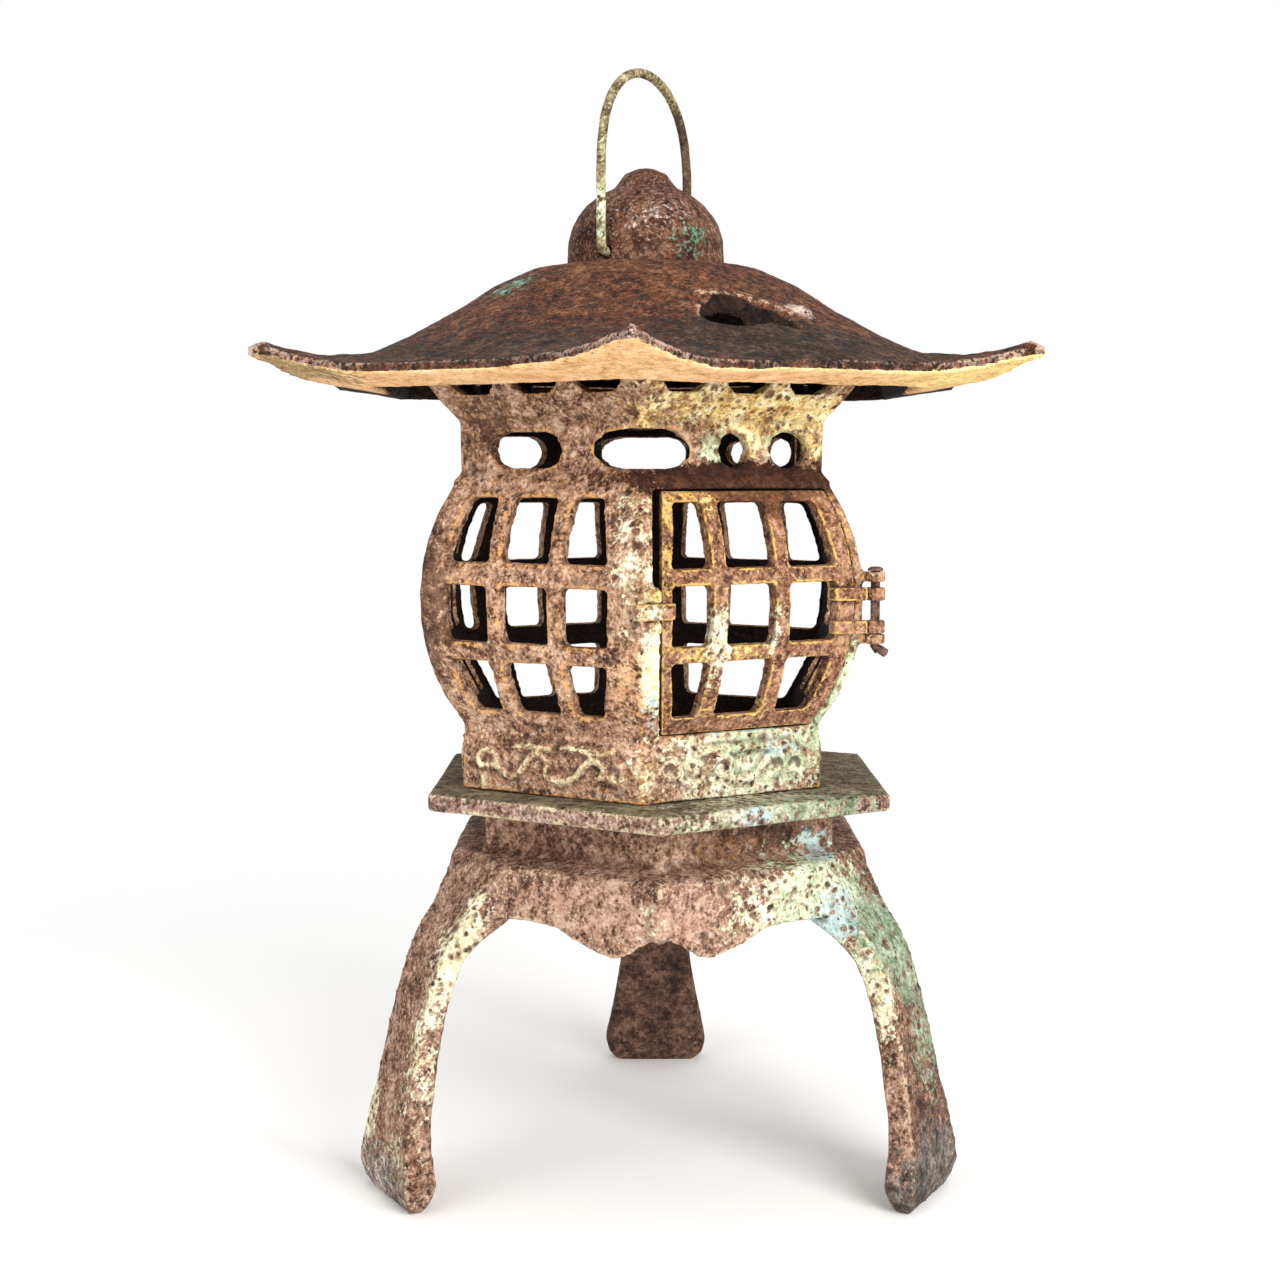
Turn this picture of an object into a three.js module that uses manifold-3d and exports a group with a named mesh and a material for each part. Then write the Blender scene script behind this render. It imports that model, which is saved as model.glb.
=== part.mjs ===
// A six-sided cast-iron pagoda lantern: a three-legged stand, a flat platform, a bulged lattice
// cage with a hinged door, an upswept roof, a domed finial and a wire bail to carry it by.
// Millimetres, +Z up. The origin is on the floor, under the middle. One corner of every hexagon
// faces -Y, which is azimuth 0, and azimuths grow towards +X.
import * as THREE from 'three';
import { mergeVertices } from 'three/addons/utils/BufferGeometryUtils.js';
import Module from 'manifold-3d';

const wasm = await Module();
wasm.setup();

// Driving dimensions

const SIDES = 6;
const seatGap = 0.3;            // between castings that rest on each other
const boreGap = 0.35;           // all round a bolt or screw in its hole
const runningGap = 0.5;         // all round a moving pivot

const mitreLap = 0.05;          // cuts on neighbouring faces run this far past their corner
const cutDepth = 22;            // cuts through a wall reach this far in from its outer face
const cutHeight = 12;           // and this far out

// The castings don't sit quite true on each other: these go sideways, from the middle of the roof
const standAside = 4;
const cageAside = -1.3;

// Stand: neck, apron with a scalloped edge, and three blade legs, cast in one piece
const legHeight = 87;           // floor to the top of the arches between the legs
const apronRadius = 75;         // across the corners, halved
const apronRise = 16.5;         // arch top to the ledge
const apronWall = 6;
const apronEdgeRound = 3;
const lobeDrop = 7.6;           // how far the lobes of the edge hang below the arches
const lobeReach = 16.5;         // from a corner without a leg to its lowest point
const lobeTail = 38;            // from that corner to where the edge is level again
const neckRadius = 61.5;
const neckRise = 14;            // ledge to the top of the neck
const neckWall = 5;
const webThickness = 5;         // plate across the top of the neck that takes the bolts
const webHoleRadius = 33;
const legTopRadius = 64.5;      // outer face of a leg where it leaves the ledge
const legKneeRadius = 87;       // outer face at the knee
const legFootRadius = 97;       // outer face just above the toe
const legThickness = 9;
const legWaistWidth = 24;
const legTopWidth = 27;
const legToeWidth = 37;
const toeRise = 8;              // height of the widest part of a foot
const legEase = 1.4;            // the leg's inner edges are eased by this much
const padWidth = 5;             // flat under each foot

// Platform
const platformRadius = 80.4;
const platformThickness = 5.6;
const plateEase = 0.8;          // eased edges
const grooveInset = 4.5;
const grooveWidth = 1.2;
const grooveDepth = 0.6;

// Cage
const cageFootRadius = 63;
const cageWaistRadius = 62.4;
const cageWall = 4.4;
const lowerFriezeRise = 19.8;   // platform to the start of the bulge
const bulgeRise = 76;           // height of the bulge
const bulgeRadius = 57.3;       // its round side, seen along a face
const bandProud = 0.6;          // the moulding between bulge and upper frieze
const bandRise = 3.4;
const bandEase = 0.4;
const upperFriezeRise = 15.5;
const corniceRise = 17;
const corniceRadius = 79;
const rowStarts = [4.8, 26, 49.8];      // foot of each row of panes above the foot of the bulge
const rowHeights = [15.7, 17.1, 19.4];
const backRowStarts = [-0.5, 23.2, 46.3];       // the two back faces have taller panes
const backRowHeights = [16.8, 18.6, 20];
const rightBackMullions = [-19, 3.7];   // along the back face on the right, from its middle
const leftBackPanes = [-2, 4, 18];      // end of one wide pane, then start and end of the next
const frontPost = 11.2;         // from the front corner to the nearest pane
const backPost = 18;
const sidePost = 7;
const rightBackPost = 3.5;      // from a side corner to the nearest pane of a back face
const leftBackPost = 2.8;
const narrowPane = 5.2;         // the pane beside the left back post
const postLean = 0.04;          // posts widen by this much a millimetre away from the middle height
const mullionWidth = 4.2;
const paneChamfer = 1;
const paneDraft = 0.06;         // panes widen outwards by this much a millimetre
const friezeHoleHeight = 10.8;
const friezeCircle = 5.6;
const wrapPast = 8;             // how far a cut-out that wraps a corner runs past it
const corniceHoleWidth = 16.5;
const corniceHolePitch = 21.5;
const corniceHoleRise = 7.5;    // from the frieze to the foot of these holes
const corniceHoleInset = 3;     // from their top to the top of the cage

// Door, in the face to the right of the front corner
const doorAzimuth = 30;
const doorWall = 4.4;
const doorRise = 70.7;
const doorSill = 0.1;           // bulge start to the bottom of the door
const doorLeftPost = 6.7;       // front corner to the door
const doorRightPost = 3.2;
const doorGap = 0.55;
const doorDraft = 0.32;         // the free edge slopes inwards to clear its jamb
const doorHingeDraft = 0.06;    // and so does its hinge side
const doorSlotWidth = 2.4;      // extra gap beside the upper half of its free edge
const doorStile = 3.3;
const doorHingeStile = 5.6;
const doorMullions = [-11.8, 9.8];      // along the face, from its middle
const doorMullionWidth = 4.8;
const doorRowStarts = [4.8, 26.2, 48.7];
const doorRowHeights = [16.8, 17.8, 19.2];

// Hinge and latch
const pinRadius = 1.4;
const pinOut = 3.7;             // corner of the bulge to the pin, measured outwards
const eyeWall = 1.1;
const eyeNeck = 3.4;            // width of a cage eye where it leaves the corner
const cageEyeHeight = 2.9;
const doorEyeHeight = 3.8;
const eyeSlack = 1.8;           // room above the door's upper eye
const eyeSpan = 21.5;           // bottom of the lowest eye to the top of the highest
const pinHeadRadius = 2.3;
const pinHeadHeight = 1.2;
const pinTail = 3;
const tabHeight = 4.6;
const tabProud = 5.4;
const tabOverhang = 4;          // past the front corner
const latchEarHeight = 3.6;
const latchEarWidth = 3.8;

// Roof
const roofTipRadius = 130;
const eaveRadius = 99;          // middle of an eave, which curves in between the tips
const eaveDrop = 2;             // middle of an eave below the top of the cage
const roofRise = 33.5;          // middle of an eave to the crown
const tipLift = 8.4;            // tips above the middle of an eave
const tipBevel = 3.2;           // the top falls by this much over the end of a tip
const bevelRun = 4;
const frontTipAside = -4;       // the front tip is warped: it points aside and is twisted
const frontTipTwist = 0.1;
const warpReach = 62;           // the warp fades out at this distance from the tip
const crownRadius = 29;
const roofThickness = 5;
const eaveThickness = 2.9;
const soffitRadius = 94.5;      // inner edge of the soffit under the eaves
const soffitDrop = 5.8;         // from the middle of an eave down to that edge
const soffitWall = 2.5;         // run from that edge up into the hollow of the roof
const seatRibWidth = 5;
const bossRadius = 6;
const roofScrewCircle = 50;
const roofScrewRise = 11;       // from the top of the cage to the end of a roof screw
const vents = [[30, 1], [150, -1]];     // faces with a vent, and the way its tail points
const ventRadius = 67;          // middle of a roof vent from the axis
const ventLobe = 8;
const ventShift = 13;           // middle of the lobe from the middle of the face
const ventTail = 21;            // from the middle of the lobe to the end of the tail
const browHeight = 1.6;
const browWidth = 6;
const browRoot = 1;

// Finial and bail
const domeRadius = 24.8;
const domeRise = 24;            // foot of the dome to the foot of the button
const buttonRadius = 9.7;
const buttonRise = 6.8;
const domeWall = 3.5;
const finialBoltRadius = 3;
const finialBossRadius = 6.5;
const bailWire = 1.6;           // radius of the wire
const bailHalfWidth = 27;
const bailPivotRise = 2.9;      // crown to the pivot
const bailReach = 57;           // pivot to the middle of the wire at the top
const bailStub = 9.5;           // wire that turns inwards through the dome
const bailBend = 3.2;           // radius of the corners by the pivots
const bailAzimuth = -30;

// Fasteners
const boltRadius = 2.5;
const boltHeadRadius = 4.4;
const boltHeadHeight = 3.4;
const nutHeight = 4;
const boltCircle = 44;
const lugThickness = 5;
const lugWidth = 15;
const lugChamfer = 3;

// Candle cup
const cupRadius = 24;
const cupHeight = 13;
const cupWall = 2;
const cupScrewRadius = 2;
const cupScrewHead = 3.6;

// Levels, from the floor up
const archTop = legHeight;
const ledgeZ = archTop + apronRise;
const neckTop = ledgeZ + neckRise;
const platformBottom = neckTop + seatGap;
const platformTop = platformBottom + platformThickness;
const cageBottom = platformTop + seatGap;
const bulgeBottom = cageBottom + lowerFriezeRise;
const bulgeMiddle = bulgeBottom + bulgeRise / 2;
const bulgeTop = bulgeBottom + bulgeRise;
const friezeTop = bulgeTop + upperFriezeRise;
const cageTop = friezeTop + corniceRise;
const seatBottom = cageTop + seatGap;
const eaveTop = cageTop - eaveDrop;
const crownTop = eaveTop + roofRise;
const domeBottom = crownTop + seatGap;
const pivotZ = crownTop + bailPivotRise;

// Materials: old paint over rusted iron

const iron = (color, roughness = 0.85) =>
  new THREE.MeshStandardMaterial({ color, roughness, metalness: 0.35 });
const standIron = iron('#8a6a5c');
const platformIron = iron('#9a8470');
const cageIron = iron('#96705f');
const doorIron = iron('#a3744f');
const roofIron = iron('#644638');
const domeIron = iron('#6d4f43');
const bailSteel = iron('#8f8468', 0.7);
const plainSteel = iron('#5b5350', 0.6);

// Helpers

const radians = (degrees) => (degrees * Math.PI) / 180;
const flatShare = Math.cos(Math.PI / SIDES);    // middle of a face over its corner, from the axis
const cornerShare = Math.sin(Math.PI / SIDES);  // half a face over its corner radius
const vec = (x, y) => new THREE.Vector2(x, y);
const up = new THREE.Vector3(0, 0, 1);

// A unit vector outwards at an azimuth, and one along the face towards greater azimuths
const outward = (azimuth) =>
  new THREE.Vector3(Math.sin(radians(azimuth)), -Math.cos(radians(azimuth)), 0);
const along = (azimuth) =>
  new THREE.Vector3(Math.cos(radians(azimuth)), Math.sin(radians(azimuth)), 0);

// A smooth function through points [x, y], level beyond both ends
function smooth(points) {
  const slopes = points.map((point, i) => {
    const before = points[Math.max(i - 1, 0)];
    const after = points[Math.min(i + 1, points.length - 1)];
    return (after[1] - before[1]) / (after[0] - before[0]);
  });
  return (x) => {
    const last = points.length - 1;
    if (x <= points[0][0]) return points[0][1];
    if (x >= points[last][0]) return points[last][1];
    const i = points.findIndex((point, k) => k > 0 && x <= point[0]) - 1;
    const width = points[i + 1][0] - points[i][0];
    const t = (x - points[i][0]) / width;
    const rise = points[i + 1][1] - points[i][1];
    const a = slopes[i] * width - rise;
    const b = -slopes[i + 1] * width + rise;
    return points[i][1] + t * rise + t * (1 - t) * (a * (1 - t) + b * t);
  };
}

// Evenly spaced values from a to b
const spread = (a, b, steps) => Array.from({ length: steps + 1 }, (_, i) => a + ((b - a) * i) / steps);

// A closed three.js geometry as a solid, turned right side out
function solid(geometry) {
  const bare = geometry.clone();
  bare.deleteAttribute('normal');
  bare.deleteAttribute('uv');
  const merged = mergeVertices(bare, 1e-4);
  const positions = merged.attributes.position.array;
  const corners = (i) => new THREE.Vector3().fromArray(positions, i * 3);
  const triangles = [];
  let volume = 0;
  for (let i = 0; i < merged.index.count; i += 3) {
    const [a, b, c] = merged.index.array.slice(i, i + 3);
    if (a === b || b === c || a === c) continue;
    volume += corners(a).dot(corners(b).cross(corners(c)));
    triangles.push([a, b, c]);
  }
  const triVerts = new Uint32Array(triangles.flatMap(([a, b, c]) => (volume > 0 ? [a, b, c] : [a, c, b])));
  const vertProperties = new Float32Array(positions);
  return new wasm.Manifold(new wasm.Mesh({ numProp: 3, vertProperties, triVerts }));
}

const joined = (solids) => solids.reduce((a, b) => a.add(b));
const cut = (body, cutters) => cutters.reduce((a, b) => a.subtract(b), body);

// A named mesh from a solid
function piece(name, body, material) {
  const { vertProperties, triVerts } = body.getMesh();
  const geometry = new THREE.BufferGeometry();
  geometry.setAttribute('position', new THREE.BufferAttribute(new Float32Array(vertProperties), 3));
  geometry.setIndex(new THREE.BufferAttribute(new Uint32Array(triVerts), 1));
  geometry.computeVertexNormals();
  const mesh = new THREE.Mesh(geometry, material);
  mesh.name = name;
  return mesh;
}

// A profile of [radius, height] points turned about the axis, as a prism of so many sides
function turned(profile, segments) {
  const onAxis = profile[0][0] === 0 && profile[profile.length - 1][0] === 0;
  const points = profile.map(([r, z]) => vec(r, z));
  if (!onAxis) points.push(points[0].clone());
  return new THREE.LatheGeometry(points, segments).rotateX(Math.PI / 2);
}
const hexagonal = (profile) => solid(turned(profile, SIDES));
const round = (profile, segments = 24) => solid(turned(profile, segments));
const rod = (radius, bottom, top, segments = 12) =>
  round([[0, bottom], [radius, bottom], [radius, top], [0, top]], segments);
const movedTo = (body, azimuth, radius) => {
  const at = outward(azimuth).multiplyScalar(radius);
  return body.translate([at.x, at.y, 0]);
};

// An outline extruded from depth a to depth b
function slab(outline, a, b) {
  const shape = new THREE.Shape(outline.map(([x, y]) => vec(x, y)));
  return new THREE.ExtrudeGeometry(shape, { depth: b - a, bevelEnabled: false }).translate(0, 0, a);
}

// Moves every corner of a geometry by a rule on its x, y and z
function reshaped(geometry, rule) {
  const position = geometry.attributes.position;
  for (let i = 0; i < position.count; i += 1) {
    position.setXYZ(i, ...rule(position.getX(i), position.getY(i), position.getZ(i)));
  }
  return geometry;
}

// From an outline of [along the face, height] with depth outwards, to its face of the hexagon
const onFace = (geometry, azimuth) =>
  geometry.applyMatrix4(new THREE.Matrix4().makeBasis(along(azimuth), up, outward(azimuth)));
// From an outline of [outwards, along the face] with depth upwards
const overFace = (geometry, azimuth) =>
  geometry.applyMatrix4(new THREE.Matrix4().makeBasis(outward(azimuth), along(azimuth), up));
// From an outline of [outwards, height] with depth sideways
const acrossFace = (geometry, azimuth) =>
  geometry.applyMatrix4(new THREE.Matrix4().makeBasis(outward(azimuth), up, along(azimuth).negate()));

const faces = spread(0, SIDES - 1, SIDES - 1).map((i) => 30 + 60 * i);
const legAzimuths = [60, 180, 300];

// Stand

// Outer and inner face of a leg: distance from the axis at each height
const legOuter = smooth([
  [0, legFootRadius - 3], [toeRise, legFootRadius], [legHeight * 0.38, legFootRadius - 4],
  [legHeight * 0.69, legKneeRadius], [legHeight * 0.89, legKneeRadius - 6.2],
  [legHeight, legKneeRadius - 13.2], [ledgeZ, legTopRadius + 0.5], [ledgeZ + 3, legTopRadius - 2],
]);
const footInner = legFootRadius - legThickness;
const kneeInner = legKneeRadius - legThickness;
const legInner = smooth([
  [0, legFootRadius - 3 - padWidth], [toeRise, footInner - 1.4],
  [legHeight * 0.26, footInner - 1], [legHeight * 0.41, footInner - 3.7],
  [legHeight * 0.63, kneeInner + 2.4], [legHeight * 0.79, kneeInner - 1.6],
  [legHeight * 0.87, kneeInner - 5.5], [legHeight * 0.94, kneeInner - 13],
  [legHeight * 0.98, kneeInner - 19.5],
]);
const legWidth = smooth([
  [0, legToeWidth - 8], [toeRise * 0.35, legToeWidth - 2.5], [toeRise, legToeWidth],
  [toeRise * 2.25, legToeWidth - 4], [legHeight * 0.41, legWaistWidth + 3],
  [legHeight * 0.6, legWaistWidth], [legHeight * 0.85, legWaistWidth], [ledgeZ, legTopWidth],
]);

// A closed body through rings of points, each with as many points as the next
function loft(rings) {
  const count = rings[0].length;
  const positions = rings.flat();
  const middle = (ring) => [0, 1, 2].map((axis) => ring.reduce((sum, point) => sum + point[axis] / count, 0));
  positions.push(middle(rings[0]), middle(rings[rings.length - 1]));
  const start = rings.length * count;
  const last = (rings.length - 1) * count;
  const indices = [];
  for (let i = 0; i < count; i += 1) {
    const next = (i + 1) % count;
    for (let ring = 0; ring < last; ring += count) {
      const above = ring + count;
      indices.push(ring + i, ring + next, above + next, ring + i, above + next, above + i);
    }
    indices.push(start, next, i, start + 1, last + i, last + next);
  }
  const geometry = new THREE.BufferGeometry();
  geometry.setAttribute('position', new THREE.BufferAttribute(new Float32Array(positions.flat()), 3));
  geometry.setIndex(indices);
  return geometry;
}

// A blade with crisp outer edges and eased inner ones
function leg(azimuth) {
  const foot = [0, toeRise * 0.35, toeRise, toeRise * 2.25];
  const shin = legHeight * 0.32;
  const outerHeights = foot.concat(spread(shin, ledgeZ - 1, 10));
  const innerHeights = foot.concat(spread(shin, legHeight * 0.98, 10));
  const rings = outerHeights.map((z, i) => {
    const low = innerHeights[i];
    const inner = legInner(low);
    const side = legWidth(z) / 2;
    return [
      [legOuter(z), z, -side], [legOuter(z), z, side], [inner + legEase, low, side],
      [inner, low, side - legEase], [inner, low, legEase - side], [inner + legEase, low, -side],
    ];
  });
  const root = legInner(legHeight) - 4;
  const top = legTopWidth / 2;
  rings.push([
    [root, ledgeZ - 1, -top], [root, ledgeZ - 1, top], [root, legHeight + legEase, top],
    [root, legHeight, top - legEase], [root, legHeight, legEase - top], [root, legHeight + legEase, -top],
  ]);
  return solid(acrossFace(loft(rings), azimuth));
}

// The hexagon's corner is flattened into the outer face of the leg below it
function shoulderCutter(azimuth) {
  const heights = spread(legHeight * 0.8, ledgeZ, 6);
  const above = ledgeZ + cutHeight;
  const clear = apronRadius + cutDepth;
  const outline = heights.map((z) => [legOuter(z), z]);
  outline.push([legOuter(ledgeZ), above], [clear, above], [clear, heights[0]]);
  return solid(acrossFace(slab(outline, -apronRadius, apronRadius), azimuth));
}

// What is taken away under the scalloped edge on one face
function scallopCutter(azimuth, mirrored) {
  const half = apronRadius * cornerShare;
  const edge = smooth([
    [0, archTop], [lobeReach * 0.42, archTop - lobeDrop * 0.36], [lobeReach * 0.68, archTop - lobeDrop * 0.8],
    [lobeReach, archTop - lobeDrop], [(lobeReach + lobeTail) / 2, archTop - lobeDrop * 0.62],
    [lobeTail, archTop - lobeDrop * 0.08], [half * 2, archTop],
  ]);
  const side = mirrored ? -1 : 1;
  const low = archTop - lobeDrop - cutDepth;
  const past = half + mitreLap;
  const outline = spread(0, lobeTail, 9).map((d) => [side * (d - half), edge(d)]);
  outline.unshift([-side * past, low], [-side * past, archTop]);
  outline.push([side * past, archTop], [side * past, low]);
  const face = apronRadius * flatShare;
  const block = slab(outline, neckRadius / 2, apronRadius + cutHeight);
  return solid(onFace(reshaped(block, (s, z, d) => [(s * d) / face, z, d]), azimuth));
}

// The bolts stand true to the cage, so the stand and platform are drilled this far off their middle
const boltsFromStand = [cageAside - standAside, 0, 0];
const boltHole = boltRadius + boreGap;
const standBolt = (azimuth, radius, bottom, top) =>
  movedTo(rod(radius, bottom, top), azimuth, boltCircle);

function makeStand() {
  const bottom = archTop - lobeDrop - 8;
  const shell = hexagonal([
    [neckRadius, neckTop], [neckRadius, ledgeZ + 2], [neckRadius + 1.6, ledgeZ + 0.5],
    [apronRadius - apronEdgeRound, ledgeZ - 0.4], [apronRadius - 0.6, ledgeZ - apronEdgeRound / 2],
    [apronRadius, ledgeZ - apronEdgeRound * 1.3], [apronRadius, bottom], [apronRadius - apronWall, bottom],
    [apronRadius - apronWall, ledgeZ - apronWall], [neckRadius - neckWall, ledgeZ - apronWall],
    [neckRadius - neckWall, neckTop - webThickness], [webHoleRadius, neckTop - webThickness],
    [webHoleRadius, neckTop],
  ]);
  const scallops = faces.map((azimuth, i) => scallopCutter(azimuth, i % 2 === 1));
  const shoulders = legAzimuths.map(shoulderCutter);
  const apron = cut(shell, scallops.concat(shoulders));
  const holes = legAzimuths
    .map((azimuth) => standBolt(azimuth, boltHole, ledgeZ, neckTop + 1).translate(boltsFromStand));
  return cut(joined([apron].concat(legAzimuths.map(leg))), holes);
}

// Platform

function makePlatform() {
  const groove = platformRadius - grooveInset;
  const plate = hexagonal([
    [0, platformBottom], [platformRadius - plateEase, platformBottom],
    [platformRadius, platformBottom + plateEase], [platformRadius, platformTop - plateEase],
    [platformRadius - plateEase, platformTop], [groove, platformTop],
    [groove - grooveWidth / 2, platformTop - grooveDepth], [groove - grooveWidth, platformTop],
    [0, platformTop],
  ]);
  const below = platformBottom - 1;
  const above = platformTop + 1;
  const holes = legAzimuths.map((azimuth) => standBolt(azimuth, boltHole, below, above))
    .concat([rod(cupScrewRadius + boreGap, below, above)]);
  return cut(plate, holes.map((hole) => hole.translate(boltsFromStand)));
}

// Bolts, nuts and the candle cup

const lugTop = cageBottom + lugThickness;
const nutBottom = lugTop + seatGap;
const webBottom = neckTop - webThickness;

function makeStandBolt(azimuth) {
  const headTop = webBottom - seatGap;
  const head = movedTo(rod(boltHeadRadius, headTop - boltHeadHeight, headTop, 6), azimuth, boltCircle);
  return head.add(standBolt(azimuth, boltRadius, headTop - 1, nutBottom + nutHeight + 2));
}

function makeStandNut(azimuth) {
  const nut = movedTo(rod(boltHeadRadius, nutBottom, nutBottom + nutHeight, 6), azimuth, boltCircle);
  return nut.subtract(standBolt(azimuth, boltHole, nutBottom - 1, nutBottom + nutHeight + 1));
}

const cupFloor = cageBottom + cupWall;

function makeCup() {
  const rim = cageBottom + cupHeight;
  const cup = round([
    [0, cageBottom], [cupRadius - 2, cageBottom], [cupRadius - 0.6, cageBottom + 2], [cupRadius, rim - 1],
    [cupRadius, rim], [cupRadius - cupWall, rim], [cupRadius - cupWall - 0.6, cupFloor], [0, cupFloor],
  ], 28);
  return cup.subtract(rod(cupScrewRadius + boreGap, cageBottom - 1, cupFloor + 1));
}

const cupNutTop = platformBottom - seatGap;

function makeCupScrew() {
  const seat = cupFloor + seatGap;
  return round([
    [0, cupNutTop - nutHeight - 1.5], [cupScrewRadius, cupNutTop - nutHeight - 1.5], [cupScrewRadius, seat],
    [cupScrewHead, seat], [cupScrewHead * 0.8, seat + 1.6], [0, seat + 2],
  ], 16);
}

function makeCupNut() {
  const nut = rod(cupScrewHead, cupNutTop - nutHeight, cupNutTop, 6);
  return nut.subtract(rod(cupScrewRadius + boreGap, cupNutTop - nutHeight - 1, cupNutTop + 1));
}

// Cage

// Corner radius of the cage's outer face in the bulge
const bulgeCentre = cageWaistRadius - Math.sqrt(bulgeRadius ** 2 - (bulgeRise / 2) ** 2);
const bulgeAt = (z) => bulgeCentre + Math.sqrt(bulgeRadius ** 2 - (z - bulgeMiddle) ** 2);
const wallShare = 1 / flatShare;   // a wall's corner thickness over its real thickness
const bulgeHeights = spread(bulgeBottom, bulgeTop - bandRise, 9);
const halfFace = (z) => bulgeAt(z) * cornerShare;

const flare = (share) => cageWaistRadius + (corniceRadius - cageWaistRadius) * share;

const cageOuter = [[cageFootRadius, cageBottom], [cageWaistRadius, bulgeBottom - 4]]
  .concat(bulgeHeights.map((z) => [bulgeAt(z), z]))
  .concat([
    [bulgeAt(bulgeTop - bandRise) + bandProud, bulgeTop - bandRise + bandEase],
    [bulgeAt(bulgeTop - 2 * bandEase) + bandProud, bulgeTop - 2 * bandEase],
    [flare(0.02), bulgeTop + bandEase], [flare(0.04), friezeTop],
    [flare(0.4), friezeTop + corniceRise * 0.32], [flare(0.84), friezeTop + corniceRise * 0.8],
    [corniceRadius, cageTop],
  ]);

function makeCageShell() {
  const wall = cageWall * wallShare;
  const inner = spread(bulgeBottom + 2, bulgeTop - bandRise, 5).map((z) => [bulgeAt(z) - wall, z]);
  const topInner = [
    [cageWaistRadius - wall, bulgeTop], [cageWaistRadius - wall, friezeTop + 1],
    [corniceRadius - wall - 4, cageTop - 4], [corniceRadius - wall, cageTop],
  ];
  const foot = [[cageFootRadius - wall, bulgeBottom - 3], [cageFootRadius - wall, cageBottom]];
  return hexagonal(cageOuter.concat(topInner.reverse(), inner.reverse(), foot));
}

// A four-sided pane with cut corners, whose sides are given at each height
function pane(left, right, bottom, top, chamfer) {
  return [
    [left(bottom) + chamfer, bottom], [right(bottom) - chamfer, bottom],
    [right(bottom + chamfer), bottom + chamfer], [right(top - chamfer), top - chamfer],
    [right(top) - chamfer, top], [left(top) + chamfer, top],
    [left(top - chamfer), top - chamfer], [left(bottom + chamfer), bottom + chamfer],
  ];
}

// A hole through a face that widens outwards, with its true size at the outer face
function openingCutter(outline, azimuth, reach, draft) {
  const xs = outline.map(([x]) => x);
  const zs = outline.map(([, z]) => z);
  const [x0, x1, z0, z1] = [Math.min(...xs), Math.max(...xs), Math.min(...zs), Math.max(...zs)];
  const [cx, cz] = [(x0 + x1) / 2, (z0 + z1) / 2];
  const block = slab(outline, reach - cutDepth, reach + cutHeight);
  return solid(onFace(reshaped(block, (s, z, d) => {
    const grow = (d - reach) * draft;
    return [s + (grow * (s - cx) * 2) / (x1 - x0), z + (grow * (z - cz) * 2) / (z1 - z0), d];
  }), azimuth));
}

const fixed = (value) => () => value;
const postLeft = (post) => (z) => post + Math.abs(z - bulgeMiddle) * postLean - halfFace(z);
const postRight = (post) => (z) => -postLeft(post)(z);

// Left and right edges of the three columns of panes of a face, between the posts of its corners
function paneColumns(azimuth) {
  const [firstEnd, nextStart, nextEnd] = leftBackPanes;
  if (azimuth === 210) {
    return [
      [postLeft(backPost), fixed(firstEnd)], [fixed(nextStart), fixed(nextEnd)],
      [postRight(leftBackPost + narrowPane), postRight(leftBackPost)],
    ];
  }
  const bar = mullionWidth / 2;
  if (azimuth === 150) {
    const [left, right] = rightBackMullions;
    return [
      [postLeft(rightBackPost), fixed(left - bar)], [fixed(left + bar), fixed(right - bar)],
      [fixed(right + bar), postRight(backPost)],
    ];
  }
  const post = (corner) => (corner % 360 === 0 ? frontPost : sidePost);
  const first = post(azimuth - 30) - halfFace(bulgeMiddle);
  const last = halfFace(bulgeMiddle) - post(azimuth + 30);
  const width = (last - first - 2 * mullionWidth) / 3;
  return [
    [postLeft(post(azimuth - 30)), fixed(first + width)],
    [fixed(first + width + mullionWidth), fixed(last - width - mullionWidth)],
    [fixed(last - width), postRight(post(azimuth + 30))],
  ];
}

// The nine panes of a fixed face
function latticeCutters(azimuth) {
  const columns = paneColumns(azimuth);
  const atBack = azimuth === 150 || azimuth === 210;
  const starts = atBack ? backRowStarts : rowStarts;
  const heights = atBack ? backRowHeights : rowHeights;
  return columns.flatMap(([left, right]) => starts.map((start, row) => {
    const bottom = bulgeBottom + start;
    const top = bottom + heights[row];
    const outline = pane(left, right, bottom, top, paneChamfer);
    return openingCutter(outline, azimuth, bulgeAt((bottom + top) / 2) * flatShare, paneDraft);
  }));
}

// Round-ended slot, as an outline
function slot(left, right, middle, height, steps = 3) {
  const r = height / 2;
  const arc = (cx, from) => spread(from, from + Math.PI, steps)
    .map((angle) => [cx + r * Math.cos(angle), middle + r * Math.sin(angle)]);
  return arc(right - r, -Math.PI / 2).concat(arc(left + r, Math.PI / 2));
}

// Cut-outs of the upper frieze: left and right end on each face, and where it differs their height
// and the shift of their middle. Two wrap round a corner
const friezeHalf = cageWaistRadius * cornerShare;
const friezeHoles = {
  30: [[-friezeHalf - wrapPast, 15.5 - friezeHalf, 11.6, 0.2], [-friezeCircle, friezeCircle], [12, 27]],
  90: [[-21, -4], [6, 22]],
  150: [[-29, -19], [-12.5, -4.1], [friezeHalf - 18.5, friezeHalf + wrapPast]],
  210: [[-friezeHalf - wrapPast, 11.5 - friezeHalf], [8, 29]],
  270: [[-21, -4], [6, 22]],
  330: [[-21, 4.4], [friezeHalf - 14.5, friezeHalf + wrapPast, 9.3, -0.7]],
};

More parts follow.
